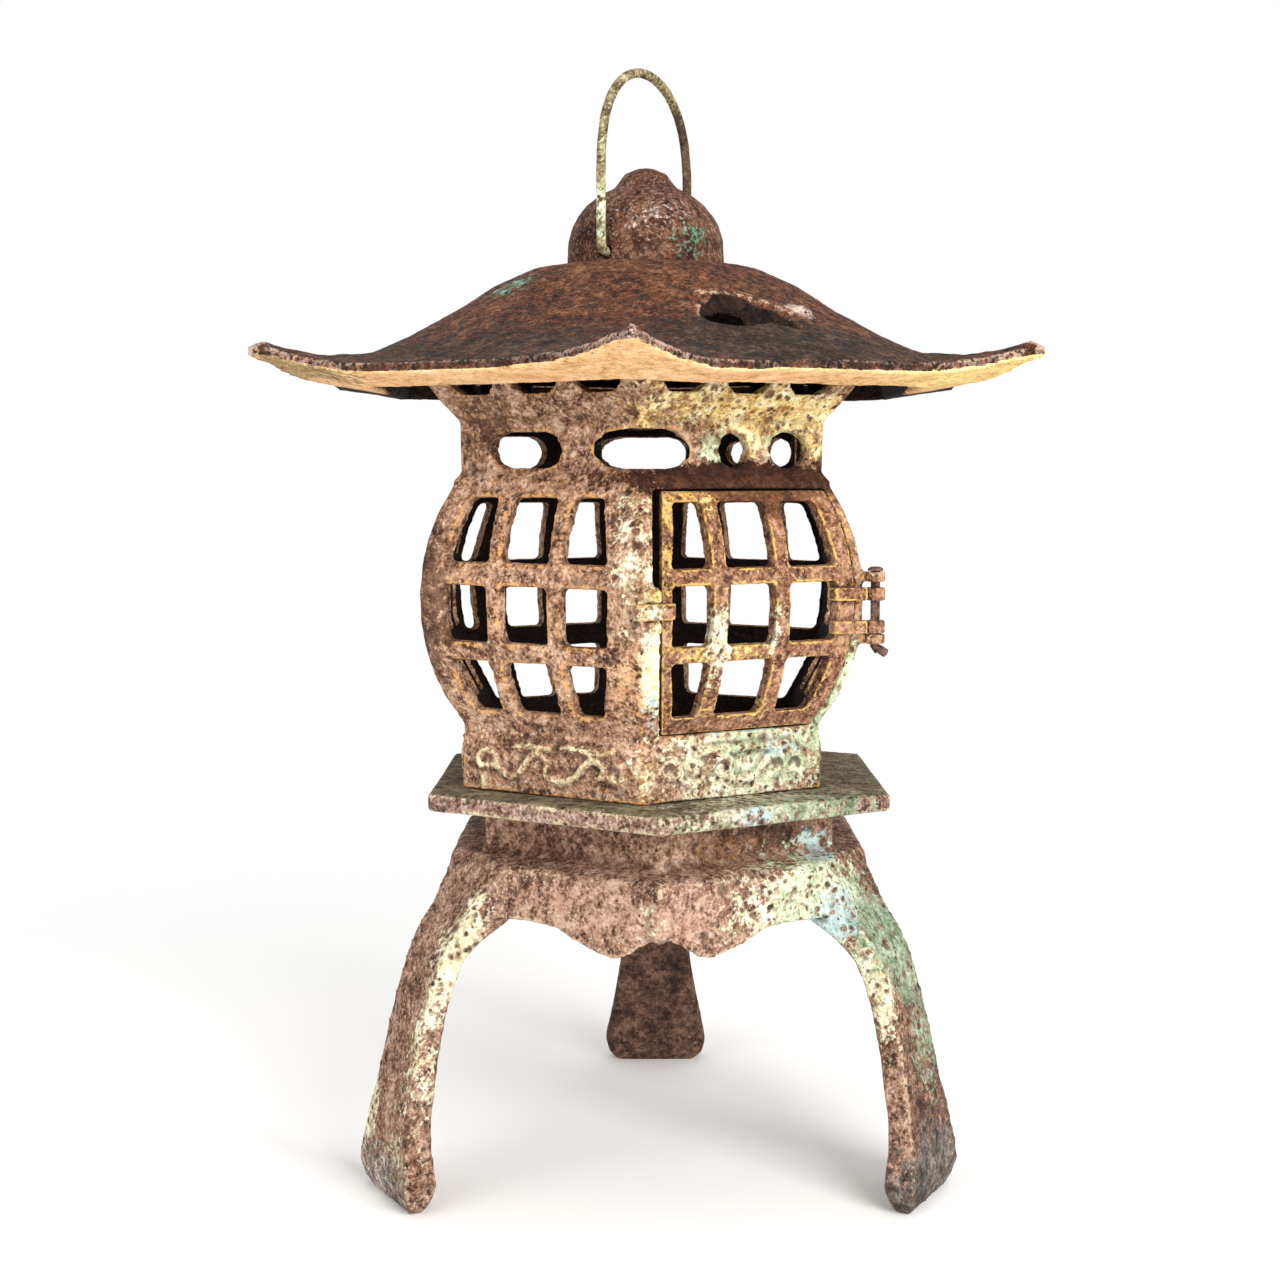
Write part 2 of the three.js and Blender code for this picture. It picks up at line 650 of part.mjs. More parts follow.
function friezeCutters(azimuth) {
  const middle = (bulgeTop + friezeTop) / 2 - 1;
  return friezeHoles[azimuth].map(([left, right, height = friezeHoleHeight, shift = 0]) => {
    const wraps = left < -friezeHalf || right > friezeHalf;
    const outline = slot(left, right, middle + shift, Math.min(height, right - left), wraps ? 5 : 4);
    return openingCutter(outline, azimuth, cageWaistRadius * flatShare, wraps ? 0 : paneDraft / 2);
  });
}

// Cut-outs of the flared cornice, hidden at the top by the eaves
function corniceCutters(azimuth) {
  const bottom = friezeTop + corniceHoleRise;
  const top = cageTop - corniceHoleInset;
  const half = corniceHoleWidth / 2;
  return [-1, 0, 1].map((place) => {
    const x = place * corniceHolePitch;
    const outline = [
      [x - half + 4, bottom], [x + half - 4, bottom], [x + half - 0.5, bottom + 2.6],
      [x + half, top], [x - half, top], [x - half + 0.5, bottom + 2.6],
    ];
    return openingCutter(outline, azimuth, corniceRadius * flatShare, 0);
  });
}

// A lug inside a corner, for a bolt or screw
function innerLug(azimuth, circle, wallRadius, bottom, thickness) {
  const nose = circle - lugWidth / 2;
  const outline = [
    [nose, lugChamfer - lugWidth / 2], [nose + lugChamfer, -lugWidth / 2], [wallRadius, -lugWidth / 2],
    [wallRadius, lugWidth / 2], [nose + lugChamfer, lugWidth / 2], [nose, lugWidth / 2 - lugChamfer],
  ];
  return solid(overFace(slab(outline, bottom, bottom + thickness), azimuth));
}

// Hinge: the pin stands outside the right corner of the door's face
const pinCorner = doorAzimuth + 30;
const pinFromAxis = bulgeAt(bulgeMiddle) + pinOut;
const pinDepth = pinFromAxis * flatShare;     // out from the axis, square to the door's face
const pinAlong = pinFromAxis * cornerShare;   // along the door's face
const eyeBottom = bulgeMiddle - 12.8;
const eyeTop = eyeBottom + eyeSpan;
const eyeRadius = pinRadius + runningGap + eyeWall;
const pinBore = (bottom, top) =>
  movedTo(rod(pinRadius + runningGap, bottom, top), pinCorner, pinFromAxis);

function cageEye(bottom) {
  const root = bulgeAt(bulgeMiddle) - 4;
  const arc = spread(-Math.PI / 2, Math.PI / 2, 8)
    .map((angle) => [pinFromAxis + eyeRadius * Math.cos(angle), eyeRadius * Math.sin(angle)]);
  const half = eyeNeck / 2;
  const outline = [[root, 0.5 - half], [root + 3, -half]].concat(arc, [[root + 3, half], [root, half - 0.5]]);
  const eye = solid(overFace(slab(outline, bottom, bottom + cageEyeHeight), pinCorner));
  return eye.subtract(pinBore(bottom - 1, bottom + cageEyeHeight + 1));
}

// Outline of the door at each height, along its face
const doorLeft = (z) => -halfFace(z) + doorLeftPost;
const doorRight = (z) => halfFace(z) - doorRightPost;
const doorBottom = bulgeBottom + doorSill;
const doorTop = doorBottom + doorRise;

function doorOutline(gap, slotWidth = 0) {
  const right = spread(doorBottom - gap, doorTop + gap, 8).map((z) => [doorRight(z) + gap, z]);
  const slotFoot = tabTop + seatGap + latchEarHeight + 0.7;
  const upper = spread(slotFoot, doorTop + gap, 4).map((z) => [doorLeft(z) - gap - slotWidth, z]);
  const lower = spread(doorBottom - gap, slotFoot - 0.6, 5).map((z) => [doorLeft(z) - gap, z]);
  return right.concat(upper.reverse(), lower.reverse());
}

// Two ears on the front post, with the door's tab between them
const tabBottom = bulgeMiddle - 2.9;
const tabTop = tabBottom + tabHeight;

function latchEar(bottom) {
  const face = bulgeAt(bulgeMiddle) * flatShare;
  const left = -halfFace(bulgeMiddle) + 0.4;
  const outline = [
    [face - 3, left], [face + tabProud - 1.2, left + 0.6], [face + tabProud - 0.4, left + 1.6],
    [face + tabProud - 0.4, left + latchEarWidth - 1], [face + tabProud - 1.4, left + latchEarWidth],
    [face - 3, left + latchEarWidth],
  ];
  return solid(overFace(slab(outline, bottom, bottom + latchEarHeight), doorAzimuth));
}

function makeCage() {
  const panes = faces.filter((azimuth) => azimuth !== doorAzimuth).flatMap(latticeCutters);
  const doorSpace = slab(doorOutline(doorGap, doorSlotWidth), cageWaistRadius / 2, platformRadius);
  const doorway = solid(onFace(doorSpace, doorAzimuth));
  const shell = cut(makeCageShell(), panes
    .concat(faces.flatMap(friezeCutters), faces.flatMap(corniceCutters), [doorway]));
  const floorLugs = legAzimuths
    .map((azimuth) => innerLug(azimuth, boltCircle, cageFootRadius - 3, cageBottom, lugThickness));
  const roofLugs = legAzimuths
    .map((azimuth) => innerLug(azimuth, roofScrewCircle, cageWaistRadius - 3, roofLugBottom, lugThickness));
  const eyes = [eyeBottom, eyeTop - cageEyeHeight].map(cageEye);
  const ears = [tabTop + seatGap, tabBottom - seatGap - latchEarHeight].map(latchEar);
  const body = joined([shell].concat(floorLugs, roofLugs, eyes, ears));
  const bolts = legAzimuths
    .map((azimuth) => standBolt(azimuth, boltHole, cageBottom - 1, lugTop + 1));
  const screws = legAzimuths
    .map((azimuth) => roofScrew(azimuth, boltHole, roofLugBottom - 1, roofLugTop + 1));
  return cut(body, bolts.concat(screws));
}

// Door

function makeDoor() {
  const wall = doorWall * wallShare;
  const heights = spread(bulgeBottom, bulgeTop, 10);
  const outer = heights.map((z) => [bulgeAt(z), z]);
  const inner = heights.map((z) => [bulgeAt(z) - wall, z]).reverse();
  const face = bulgeAt(bulgeMiddle) * flatShare;

  // The free edge slopes inwards from the outer face at each height
  const block = reshaped(slab(doorOutline(0), face - cutDepth, face + cutHeight), (s, z, d) => {
    const below = bulgeAt(z) * flatShare - d;
    return [s < 0 ? s + below * doorDraft : s - below * doorHingeDraft, z, d];
  });
  const plate = hexagonal(outer.concat(inner)).intersect(solid(onFace(block, doorAzimuth)));

  const bar = doorMullionWidth / 2;
  const [first, second] = doorMullions;
  const columns = [
    [(z) => doorLeft(z) + doorStile, fixed(first - bar)], [fixed(first + bar), fixed(second - bar)],
    [fixed(second + bar), (z) => doorRight(z) - doorHingeStile],
  ];
  const panes = columns.flatMap(([left, right]) => doorRowStarts.map((start, row) => {
    const bottom = doorBottom + start;
    const top = bottom + doorRowHeights[row];
    const outline = pane(left, right, bottom, top, paneChamfer);
    return openingCutter(outline, doorAzimuth, bulgeAt((bottom + top) / 2) * flatShare, paneDraft);
  }));

  const eyeBottoms = [
    eyeBottom + cageEyeHeight + seatGap,
    eyeTop - cageEyeHeight - eyeSlack - doorEyeHeight,
  ];
  const arc = spread(-1.1, 2.3, 9)
    .map((angle) => [pinDepth + eyeRadius * Math.cos(angle), pinAlong + eyeRadius * Math.sin(angle)]);
  const leaf = doorRight(bulgeMiddle);
  const outline = [[face - 2.5, leaf - 8], [face + 1.4, leaf - 8]]
    .concat(arc, [[face + 0.9, leaf + 2.2], [face + 0.6, leaf - 0.2], [face - 2.5, leaf - 1.2]]);
  const eyes = eyeBottoms.map((bottom) =>
    solid(overFace(slab(outline, bottom, bottom + doorEyeHeight), doorAzimuth)));
  const bore = pinBore(eyeBottom - 5, eyeTop + 5);

  const corner = -halfFace(bulgeMiddle);
  const start = doorLeft(bulgeMiddle);
  const tabOutline = [
    [face - 2.5, start + 1.4], [face + 0.9, start - 0.4], [face + 0.9, corner - tabOverhang + 0.8],
    [face + 2.2, corner - tabOverhang], [face + tabProud - 1.2, corner - tabOverhang + 0.3],
    [face + tabProud, corner - tabOverhang + 2], [face + tabProud, start + 0.6],
    [face + tabProud - 2, start + 2.4], [face - 2.5, start + 3],
  ];
  const tab = solid(overFace(slab(tabOutline, tabBottom, tabTop), doorAzimuth));
  return cut(joined([cut(plate, panes)].concat(eyes, [tab])), [bore]);
}

function makePin() {
  const top = eyeTop + seatGap;
  const bottom = eyeBottom - pinTail;
  const shank = rod(pinRadius, eyeBottom - 0.5, top + 0.5, 12);
  const head = round([
    [0, top], [pinHeadRadius, top], [pinHeadRadius, top + pinHeadHeight * 0.6],
    [pinHeadRadius * 0.6, top + pinHeadHeight], [0, top + pinHeadHeight],
  ], 12);
  // The tail is bent outwards below the lowest eye
  const bend = new THREE.CatmullRomCurve3([
    new THREE.Vector3(0, 0, eyeBottom), new THREE.Vector3(0, 0, eyeBottom - 1.6),
    new THREE.Vector3(1.2, 0.3, bottom + 1.4), new THREE.Vector3(3.4, 0.8, bottom),
  ]);
  const section = new THREE.Shape(spread(0, 2 * Math.PI, 8).slice(0, -1)
    .map((angle) => vec(pinRadius * 0.96 * Math.cos(angle), pinRadius * 0.96 * Math.sin(angle))));
  const tail = new THREE.ExtrudeGeometry(section, { steps: 6, bevelEnabled: false, extrudePath: bend });
  return movedTo(joined([shank, head, solid(tail)]), pinCorner, pinFromAxis);
}

// Roof

// Height of the roof's top along a face, from the middle of an eave to the crown
const roofProfile = smooth([
  [0, 1], [crownRadius, 1], [crownRadius + 10, 0.94], [crownRadius + 19, 0.805],
  [crownRadius + 28, 0.63], [crownRadius + 39, 0.43], [eaveRadius - 20, 0.27], [eaveRadius - 9, 0.12],
  [eaveRadius, 0], [(eaveRadius + roofTipRadius) / 2, -0.15], [roofTipRadius, -0.27],
]);
const liftStart = eaveRadius - 21;

// Share of the way from the middle of a face, 0, to its ridge, 1
const ridgeShare = (azimuth) => Math.abs((((azimuth % 60) + 60) % 60) - 30) / 30;

// The eave curves in between two tips: half its chord and the height of the arc give its radius
const tipHalf = roofTipRadius * cornerShare;
const eaveBow = roofTipRadius * flatShare - eaveRadius;
const eaveArc = (tipHalf ** 2 + eaveBow ** 2) / (2 * eaveBow);

function eaveAt(azimuth) {
  const off = radians(ridgeShare(azimuth) * 30);
  const centre = eaveRadius + eaveArc;
  const reach = centre * Math.cos(off);
  return reach - Math.sqrt(Math.max(reach ** 2 - centre ** 2 + eaveArc ** 2, 0));
}

function roofTop(radius, azimuth) {
  const out = Math.max(radius - liftStart, 0) / (roofTipRadius - liftStart);
  const lift = (tipLift + roofRise * 0.27) * out ** 1.8 * ridgeShare(azimuth) ** 1.5;
  return eaveTop + roofRise * roofProfile(radius) + lift;
}

// The end of a tip is blunt: its top bends down to the rim
function tipFall(radius, azimuth) {
  const share = Math.max(radius - eaveAt(azimuth) + bevelRun, 0) / bevelRun;
  return tipBevel * ridgeShare(azimuth) ** 20 * share ** 2;
}

// The soffit's inner edge is a hexagon: its distance from the axis, square to a face and at an azimuth
const soffitFlat = soffitRadius * flatShare;
const faceShare = (azimuth) => Math.cos(radians(ridgeShare(azimuth) * 30));
const soffitAt = (azimuth) => soffitFlat / faceShare(azimuth);

// A solid between the roof's top, lowered by a drop, and a rule for its underside
function roofLayer(drop, underside, shrink = 0) {
  const shares = [0, 0.25, 0.48, 0.67, 0.82, 0.92];   // from the middle of a face to its ridge
  const before = shares.slice(1).reverse().map((share) => -share);
  const azimuths = faces.flatMap((middle) =>
    before.concat(shares, [1]).map((share) => middle + 30 * share));
  const around = azimuths.length;
  const inside = [crownRadius, crownRadius + 8, crownRadius + 19, crownRadius + 31];
  const alongFaces = [soffitFlat - 10, soffitFlat - soffitWall, soffitFlat];
  const outside = [0.35, 0.7];
  const rings = inside.length + alongFaces.length + outside.length + 2;
  const positions = [];
  const indices = [];
  const point = (radius, azimuth, z) => {
    const at = outward(azimuth).multiplyScalar(radius);
    positions.push(at.x, at.y, z);
  };
  for (let side = 0; side < 2; side += 1) {
    const height = side === 0
      ? (radius, azimuth) => roofTop(radius, azimuth) - tipFall(radius + shrink, azimuth) - drop
      : underside;
    point(0, 0, height(0, 0));
    for (let i = 0; i < around; i += 1) {
      const azimuth = azimuths[i];
      const edge = eaveAt(azimuth) - shrink;
      const start = soffitAt(azimuth);
      inside.concat(alongFaces.map((distance) => distance / faceShare(azimuth)))
        .concat(outside.map((share) => start + (edge - start) * share), [edge - bevelRun, edge])
        .forEach((radius) => point(radius, azimuth, height(radius, azimuth)));
    }
  }
  const layer = 1 + around * rings;
  const at = (side, i, ring) => side * layer + 1 + (i % around) * rings + ring;
  for (let i = 0; i < around; i += 1) {
    for (let side = 0; side < 2; side += 1) {
      const face = (a, b, c) => (side === 0 ? indices.push(a, b, c) : indices.push(a, c, b));
      face(side * layer, at(side, i, 0), at(side, i + 1, 0));
      for (let ring = 0; ring < rings - 1; ring += 1) {
        face(at(side, i, ring), at(side, i, ring + 1), at(side, i + 1, ring + 1));
        face(at(side, i, ring), at(side, i + 1, ring + 1), at(side, i + 1, ring));
      }
    }
    const rim = rings - 1;
    indices.push(at(0, i, rim), at(1, i, rim), at(1, i + 1, rim));
    indices.push(at(0, i, rim), at(1, i + 1, rim), at(0, i + 1, rim));
  }
  const geometry = new THREE.BufferGeometry();
  geometry.setAttribute('position', new THREE.BufferAttribute(new Float32Array(positions), 3));
  geometry.setIndex(indices);
  return solid(reshaped(geometry, warped));
}

function warped(x, y, z) {
  const near = Math.max(1 - Math.hypot(x, y + roofTipRadius) / warpReach, 0);
  const share = near * near * (3 - 2 * near);
  return [x + frontTipAside * share, y, z - frontTipTwist * x * share];
}

// The underside: a hollow, and round it a soffit that rises from its inner edge to the eave
function roofUnder(radius, azimuth) {
  const start = soffitAt(azimuth);
  if (radius < start - soffitWall / 2) return roofTop(radius, azimuth) - roofThickness;
  const edge = eaveAt(azimuth);
  const share = Math.max((radius - start) / (edge - start), 0);
  const inner = eaveTop - soffitDrop;
  return inner + (roofTop(edge, azimuth) - tipFall(edge, azimuth) - eaveThickness - inner) * share;
}

// Screws that hold the roof come up from inside the cage
const roofLugBottom = friezeTop + 3;
const roofLugTop = roofLugBottom + lugThickness;
const roofScrewTop = cageTop + roofScrewRise;
const roofScrew = (azimuth, radius, bottom, top) =>
  movedTo(rod(radius, bottom, top), azimuth, roofScrewCircle);

// A vent in the plan of its face, as [out from the axis, along the face]: a round lobe with a tail
// that narrows to one side
function ventOutline(way) {
  const back = ventRadius - ventLobe;
  const front = ventRadius + ventLobe;
  const lobe = -ventShift;
  const tail = ventTail - ventShift;
  return new THREE.SplineCurve([
    vec(ventRadius, lobe - ventLobe), vec(back + 2.2, lobe - 5), vec(back - 0.4, lobe + 1.4),
    vec(back + 0.4, lobe + 6), vec(back + 3.4, lobe + 11.5), vec(back + 6.4, tail - 3.6),
    vec(ventRadius + 4.5, tail), vec(front - 0.2, tail - 0.4), vec(front - 0.4, tail - 4.5),
    vec(front - 2.8, lobe + 11), vec(front - 0.6, lobe + 4.6), vec(front - 0.8, lobe - 1.5),
    vec(front - 4, lobe - 6.8), vec(ventRadius, lobe - ventLobe),
  ]).getPoints(22).slice(0, -1).map((p) => [p.x, way * p.y]);
}

// A raised brow along the upper edge of a vent, which sheds the rain
function brow(azimuth, way) {
  const back = ventRadius - ventLobe - browWidth / 2 + 0.6;
  const tail = ventTail - ventShift;
  const course = [
    [back - 0.6, -ventShift - 3], [back - 0.2, 4 - ventShift], [back + 2.4, 11 - ventShift],
    [back + 5.6, tail - 3.2], [back + 10.6, tail + 1.8],
  ].map(([depth, side]) => {
    const at = outward(azimuth).multiplyScalar(depth).addScaledVector(along(azimuth), way * side);
    const turn = azimuth + (Math.atan2(way * side, depth) * 180) / Math.PI;
    at.z = roofTop(Math.hypot(depth, side), turn) - browRoot;
    return at;
  });
  const path = new THREE.CatmullRomCurve3(course);
  const section = new THREE.Shape(spread(0, 2 * Math.PI, 6).slice(0, -1)
    .map((angle) => vec((browHeight + browRoot) * Math.cos(angle), (browWidth / 2) * Math.sin(angle))));
  return solid(new THREE.ExtrudeGeometry(section, { steps: 7, bevelEnabled: false, extrudePath: path }));
}

function makeRoof() {
  const shell = roofLayer(0, roofUnder);
  const belowTop = roofLayer(1, () => friezeTop, 2);
  const ribOuter = corniceRadius - 2;
  const rib = hexagonal([
    [ribOuter, seatBottom], [ribOuter, crownTop], [ribOuter - seatRibWidth * wallShare, crownTop],
    [ribOuter - seatRibWidth * wallShare, seatBottom],
  ]);
  const bosses = legAzimuths
    .map((azimuth) => roofScrew(azimuth, bossRadius, roofLugTop + seatGap, crownTop));
  const inside = joined([rib].concat(bosses)).translate([cageAside, 0, 0]).intersect(belowTop);
  const ventHoles = vents
    .map(([azimuth, way]) => solid(overFace(slab(ventOutline(way), eaveTop, crownTop + 10), azimuth)));
  const screwHoles = legAzimuths
    .map((azimuth) => roofScrew(azimuth, boltHole, roofLugTop, roofScrewTop + 1))
    .map((hole) => hole.translate([cageAside, 0, 0]));
  const centreHole = rod(finialBoltRadius + boreGap, crownTop - 20, crownTop + 5);
  const brows = vents.map(([azimuth, way]) => brow(azimuth, way));
  return cut(joined([shell, inside].concat(brows)), ventHoles.concat(screwHoles, [centreHole]));
}

function makeRoofScrew(azimuth) {
  const headTop = roofLugBottom - seatGap;
  const head = movedTo(rod(boltHeadRadius, headTop - boltHeadHeight, headTop, 12), azimuth, roofScrewCircle);
  return head.add(roofScrew(azimuth, boltRadius, headTop - 1, roofScrewTop));
}

// Finial and bail

const finialBoltTop = domeBottom + domeRise * 0.6;
const bailPivot = (azimuth, radius, from, to) => {
  const stub = rod(radius, from, to, 12).rotate([90, 0, 0]);
  return stub.rotate([0, 0, azimuth]).translate([0, 0, pivotZ]);
};

function makeFinial() {
  const buttonZ = domeBottom + domeRise;
  const top = buttonZ + buttonRise;
  const last = Math.acos(buttonRadius / domeRadius);
  const arc = spread(0.16, 1, 5).map((share) => {
    const rise = Math.sin(share * last) / Math.sin(last);
    return [domeRadius * Math.cos(share * last) ** 0.9, domeBottom + 4 + (domeRise - 4) * rise];
  });
  const outer = [[domeRadius, domeBottom]].concat(arc, [
    [buttonRadius, buttonZ + 0.6], [buttonRadius - 1.2, buttonZ + 2.2], [buttonRadius - 3.2, top - 2],
    [buttonRadius - 6.8, top - 0.4], [0, top],
  ]);
  const inside = domeRadius - domeWall;
  const roofOf = domeBottom + domeRise - domeWall;
  const bore = finialBoltRadius + boreGap;
  const shell = [
    [0, finialBoltTop + 2], [bore, finialBoltTop + 1], [bore, domeBottom],
    [finialBossRadius, domeBottom], [finialBossRadius, roofOf], [inside * 0.62, domeBottom + domeRise * 0.66],
    [inside * 0.93, domeBottom + domeRise * 0.36], [inside, domeBottom],
  ];
  const dome = round(shell.concat(outer), 30);
  const reach = domeRadius + 5;
  return dome.subtract(bailPivot(bailAzimuth, bailWire + runningGap, inside * 0.6, reach))
    .subtract(bailPivot(bailAzimuth, bailWire + runningGap, -reach, -inside * 0.6));
}

function makeFinialBolt() {
  const headTop = crownTop - roofThickness - seatGap;
  return rod(finialBoltRadius * 1.8, headTop - boltHeadHeight, headTop, 6)
    .add(rod(finialBoltRadius, headTop - 1, finialBoltTop));
}

// The bail is one bent wire: in at one side of the dome, up, over and down to the other
function makeBail() {
  const w = bailHalfWidth;
  const legTop = pivotZ + bailReach - w;
  const handle = 0.5523 * w;      // makes the two cubic curves a half circle
  const line = (...ends) => new THREE.LineCurve3(...ends);
  const bend = (...points) => new THREE.QuadraticBezierCurve3(...points);
  const curve = (...points) => new THREE.CubicBezierCurve3(...points);
  const at = (x, z) => new THREE.Vector3(x, 0, z);
  const crown = at(0, legTop + w);
  const path = new THREE.CurvePath();
  path.add(line(at(bailStub - w, pivotZ), at(bailBend - w, pivotZ)));
  path.add(bend(at(bailBend - w, pivotZ), at(-w, pivotZ), at(-w, pivotZ + bailBend)));
  path.add(line(at(-w, pivotZ + bailBend), at(-w, legTop)));
  path.add(curve(at(-w, legTop), at(-w, legTop + handle), at(-handle, legTop + w), crown));
  path.add(curve(crown, at(handle, legTop + w), at(w, legTop + handle), at(w, legTop)));
  path.add(line(at(w, legTop), at(w, pivotZ + bailBend)));
  path.add(bend(at(w, pivotZ + bailBend), at(w, pivotZ), at(w - bailBend, pivotZ)));
  path.add(line(at(w - bailBend, pivotZ), at(w - bailStub, pivotZ)));
  const section = new THREE.Shape(spread(0, 2 * Math.PI, 8).slice(0, -1)
    .map((angle) => vec(bailWire * Math.cos(angle), bailWire * Math.sin(angle))));
  const wire = new THREE.ExtrudeGeometry(section, { steps: 56, bevelEnabled: false, extrudePath: path });
  return solid(wire.rotateZ(radians(bailAzimuth + 90)));
}

// The three castings, each with what is fastened to it

const standGroup = new THREE.Group();
standGroup.position.x = standAside;
standGroup.add(piece('stand', makeStand(), standIron), piece('platform', makePlatform(), platformIron));

const cageGroup = new THREE.Group();
cageGroup.position.x = cageAside;
cageGroup.add(
  piece('cage', makeCage(), cageIron),
  piece('door', makeDoor(), doorIron),
  piece('hinge_pin', makePin(), plainSteel),
  piece('candle_cup', makeCup(), plainSteel),
  piece('cup_screw', makeCupScrew(), plainSteel),
  piece('cup_nut', makeCupNut(), plainSteel),
  ...legAzimuths.map((azimuth, i) => piece(`stand_bolt_${i + 1}`, makeStandBolt(azimuth), plainSteel)),
  ...legAzimuths.map((azimuth, i) => piece(`stand_nut_${i + 1}`, makeStandNut(azimuth), plainSteel)),
  ...legAzimuths.map((azimuth, i) => piece(`roof_screw_${i + 1}`, makeRoofScrew(azimuth), plainSteel)),
);

const roofGroup = new THREE.Group();
roofGroup.add(
  piece('roof', makeRoof(), roofIron),
  piece('finial', makeFinial(), domeIron),
  piece('finial_bolt', makeFinialBolt(), plainSteel),
  piece('bail', makeBail(), bailSteel),
);

const lantern = new THREE.Group();
lantern.add(standGroup, cageGroup, roofGroup);

export default lantern;
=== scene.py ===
# %% [markdown]
# # A rusted cast-iron pagoda lantern
# The real lantern is six castings and a bent wire, bolted together and left outside for years.
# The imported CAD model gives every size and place. This lesson turns its crisp solids into sand
# castings, with soft edges and pitted skin, and then covers them with layers of rust and what is
# left of the old paint.

# %% The frame
import math

import bmesh
import bpy
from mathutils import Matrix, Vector


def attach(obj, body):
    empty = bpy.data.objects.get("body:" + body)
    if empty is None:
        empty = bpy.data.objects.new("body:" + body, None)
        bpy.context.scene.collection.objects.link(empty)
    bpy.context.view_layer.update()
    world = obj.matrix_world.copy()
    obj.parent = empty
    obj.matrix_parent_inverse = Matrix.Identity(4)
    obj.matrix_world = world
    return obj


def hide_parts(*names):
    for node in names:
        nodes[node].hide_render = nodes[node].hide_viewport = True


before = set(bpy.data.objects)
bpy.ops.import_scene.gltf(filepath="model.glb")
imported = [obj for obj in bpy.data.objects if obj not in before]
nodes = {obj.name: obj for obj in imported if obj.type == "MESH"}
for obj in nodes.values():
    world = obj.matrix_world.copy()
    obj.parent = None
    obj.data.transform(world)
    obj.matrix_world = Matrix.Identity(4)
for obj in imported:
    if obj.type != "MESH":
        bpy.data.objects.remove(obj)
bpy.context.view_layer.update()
MM = 0.001
print("nodes:", len(nodes))

# %% [markdown]
# ## Places on the lantern
# Everything is laid out on a hexagon with one corner towards the front, and FACES holds the azimuths
# of its faces. A place is easiest to give as an azimuth, a distance from the axis and a shift along
# the face, so one function turns that into x, y and z. The castings don't sit quite true on each
# other, so the stand and the cage lie a little aside of the roof's axis.

# %% Places
FACES = range(30, 390, 60)
STAND_ASIDE = 4.0
CAGE_ASIDE = -1.3


def at(azimuth, radius, side, height, aside=0.0):
    """A point in mm: outwards at an azimuth, sideways along the face, and up."""
    turn = math.radians(azimuth)
    return Vector((
        radius * math.sin(turn) + side * math.cos(turn) + aside,
        -radius * math.cos(turn) + side * math.sin(turn),
        height,
    ))


# %% [markdown]
# ## Working as by hand
# An operator acts on whatever is selected, and loading the frame leaves its nodes selected. So
# these helpers first select nothing, and then only what the next step needs.

# %% Helpers for selecting and for modifiers
def only(*objects):
    bpy.ops.object.select_all(action="DESELECT")
    for obj in objects:
        obj.select_set(True)
    bpy.context.view_layer.objects.active = objects[0]


def finished(obj, kind, **settings):
    """Adds a modifier with its settings and applies it."""
    modifier = obj.modifiers.new(kind.title(), kind)
    for name, value in settings.items():
        setattr(modifier, name, value)
    only(obj)
    bpy.ops.object.modifier_apply(modifier=modifier.name)


def joined(first, *others):
    only(first, *others)
    bpy.ops.object.join()
    return first


def settled(obj):
    """Puts an object's place into its mesh."""
    only(obj)
    bpy.ops.object.transform_apply(location=True, rotation=True, scale=True)
    return obj


def shade_smooth(obj):
    only(obj)
    bpy.ops.object.shade_smooth()


def triangles(obj):
    return sum(len(face.vertices) - 2 for face in obj.data.polygons)


# %% [markdown]
# ## From crisp solid to sand casting
# Iron poured into sand comes out with rounded edges, a slightly wavy skin and, after years of
# rain, pits and scale. Modelling that by hand on a lattice would take days. A copy of the CAD
# solid is remeshed into even little squares instead, which rounds the edges by about one square,
# then smoothed a little and pushed in and out by soft noise of the size that the real skin has.
# Where that makes too many triangles, those that matter least are merged.

# %% Casting helpers
SAME_PLACE = 0.002


def solid_copy(node, name):
    """A copy of a CAD node with its loose triangles merged."""
    copy = nodes[node].copy()
    copy.data = nodes[node].data.copy()
    for key in list(copy.keys()):
        del copy[key]
    copy.name = name
    copy.data.name = name
    copy.parent = None
    bpy.context.scene.collection.objects.link(copy)
    only(copy)
    bpy.ops.object.mode_set(mode="EDIT")
    bpy.ops.mesh.select_all(action="SELECT")
    bpy.ops.mesh.remove_doubles(threshold=SAME_PLACE * MM)
    bpy.ops.object.mode_set(mode="OBJECT")
    copy.data.materials.clear()
    return copy


def noise_texture(name, size, depth):
    texture = bpy.data.textures.new(name, "CLOUDS")
    texture.noise_scale = size * MM
    texture.noise_depth = depth
    texture.noise_basis = "ORIGINAL_PERLIN"
    return texture


WAVES = noise_texture("casting_waves", 16, 1)
SCALE_PITS = noise_texture("rust_scale", 2.6, 2)


def disturbed(obj, texture, height):
    """Pushes the skin in and out by a noise, over a height in mm in all."""
    finished(obj, "DISPLACE", texture=texture, texture_coords="LOCAL", mid_level=0.5, strength=height * MM)


# %% [markdown]
# ## Edges and corners
# Rust and paint wear away first on edges that stand out, and the finish makes the corners darker.
# The finish needs to know where those are, so each point of a casting stores how far it stands out
# from its neighbours, where 1 means SHARP squares. The materials read it as an attribute.

# %% Marking edges
SHARP = 0.22


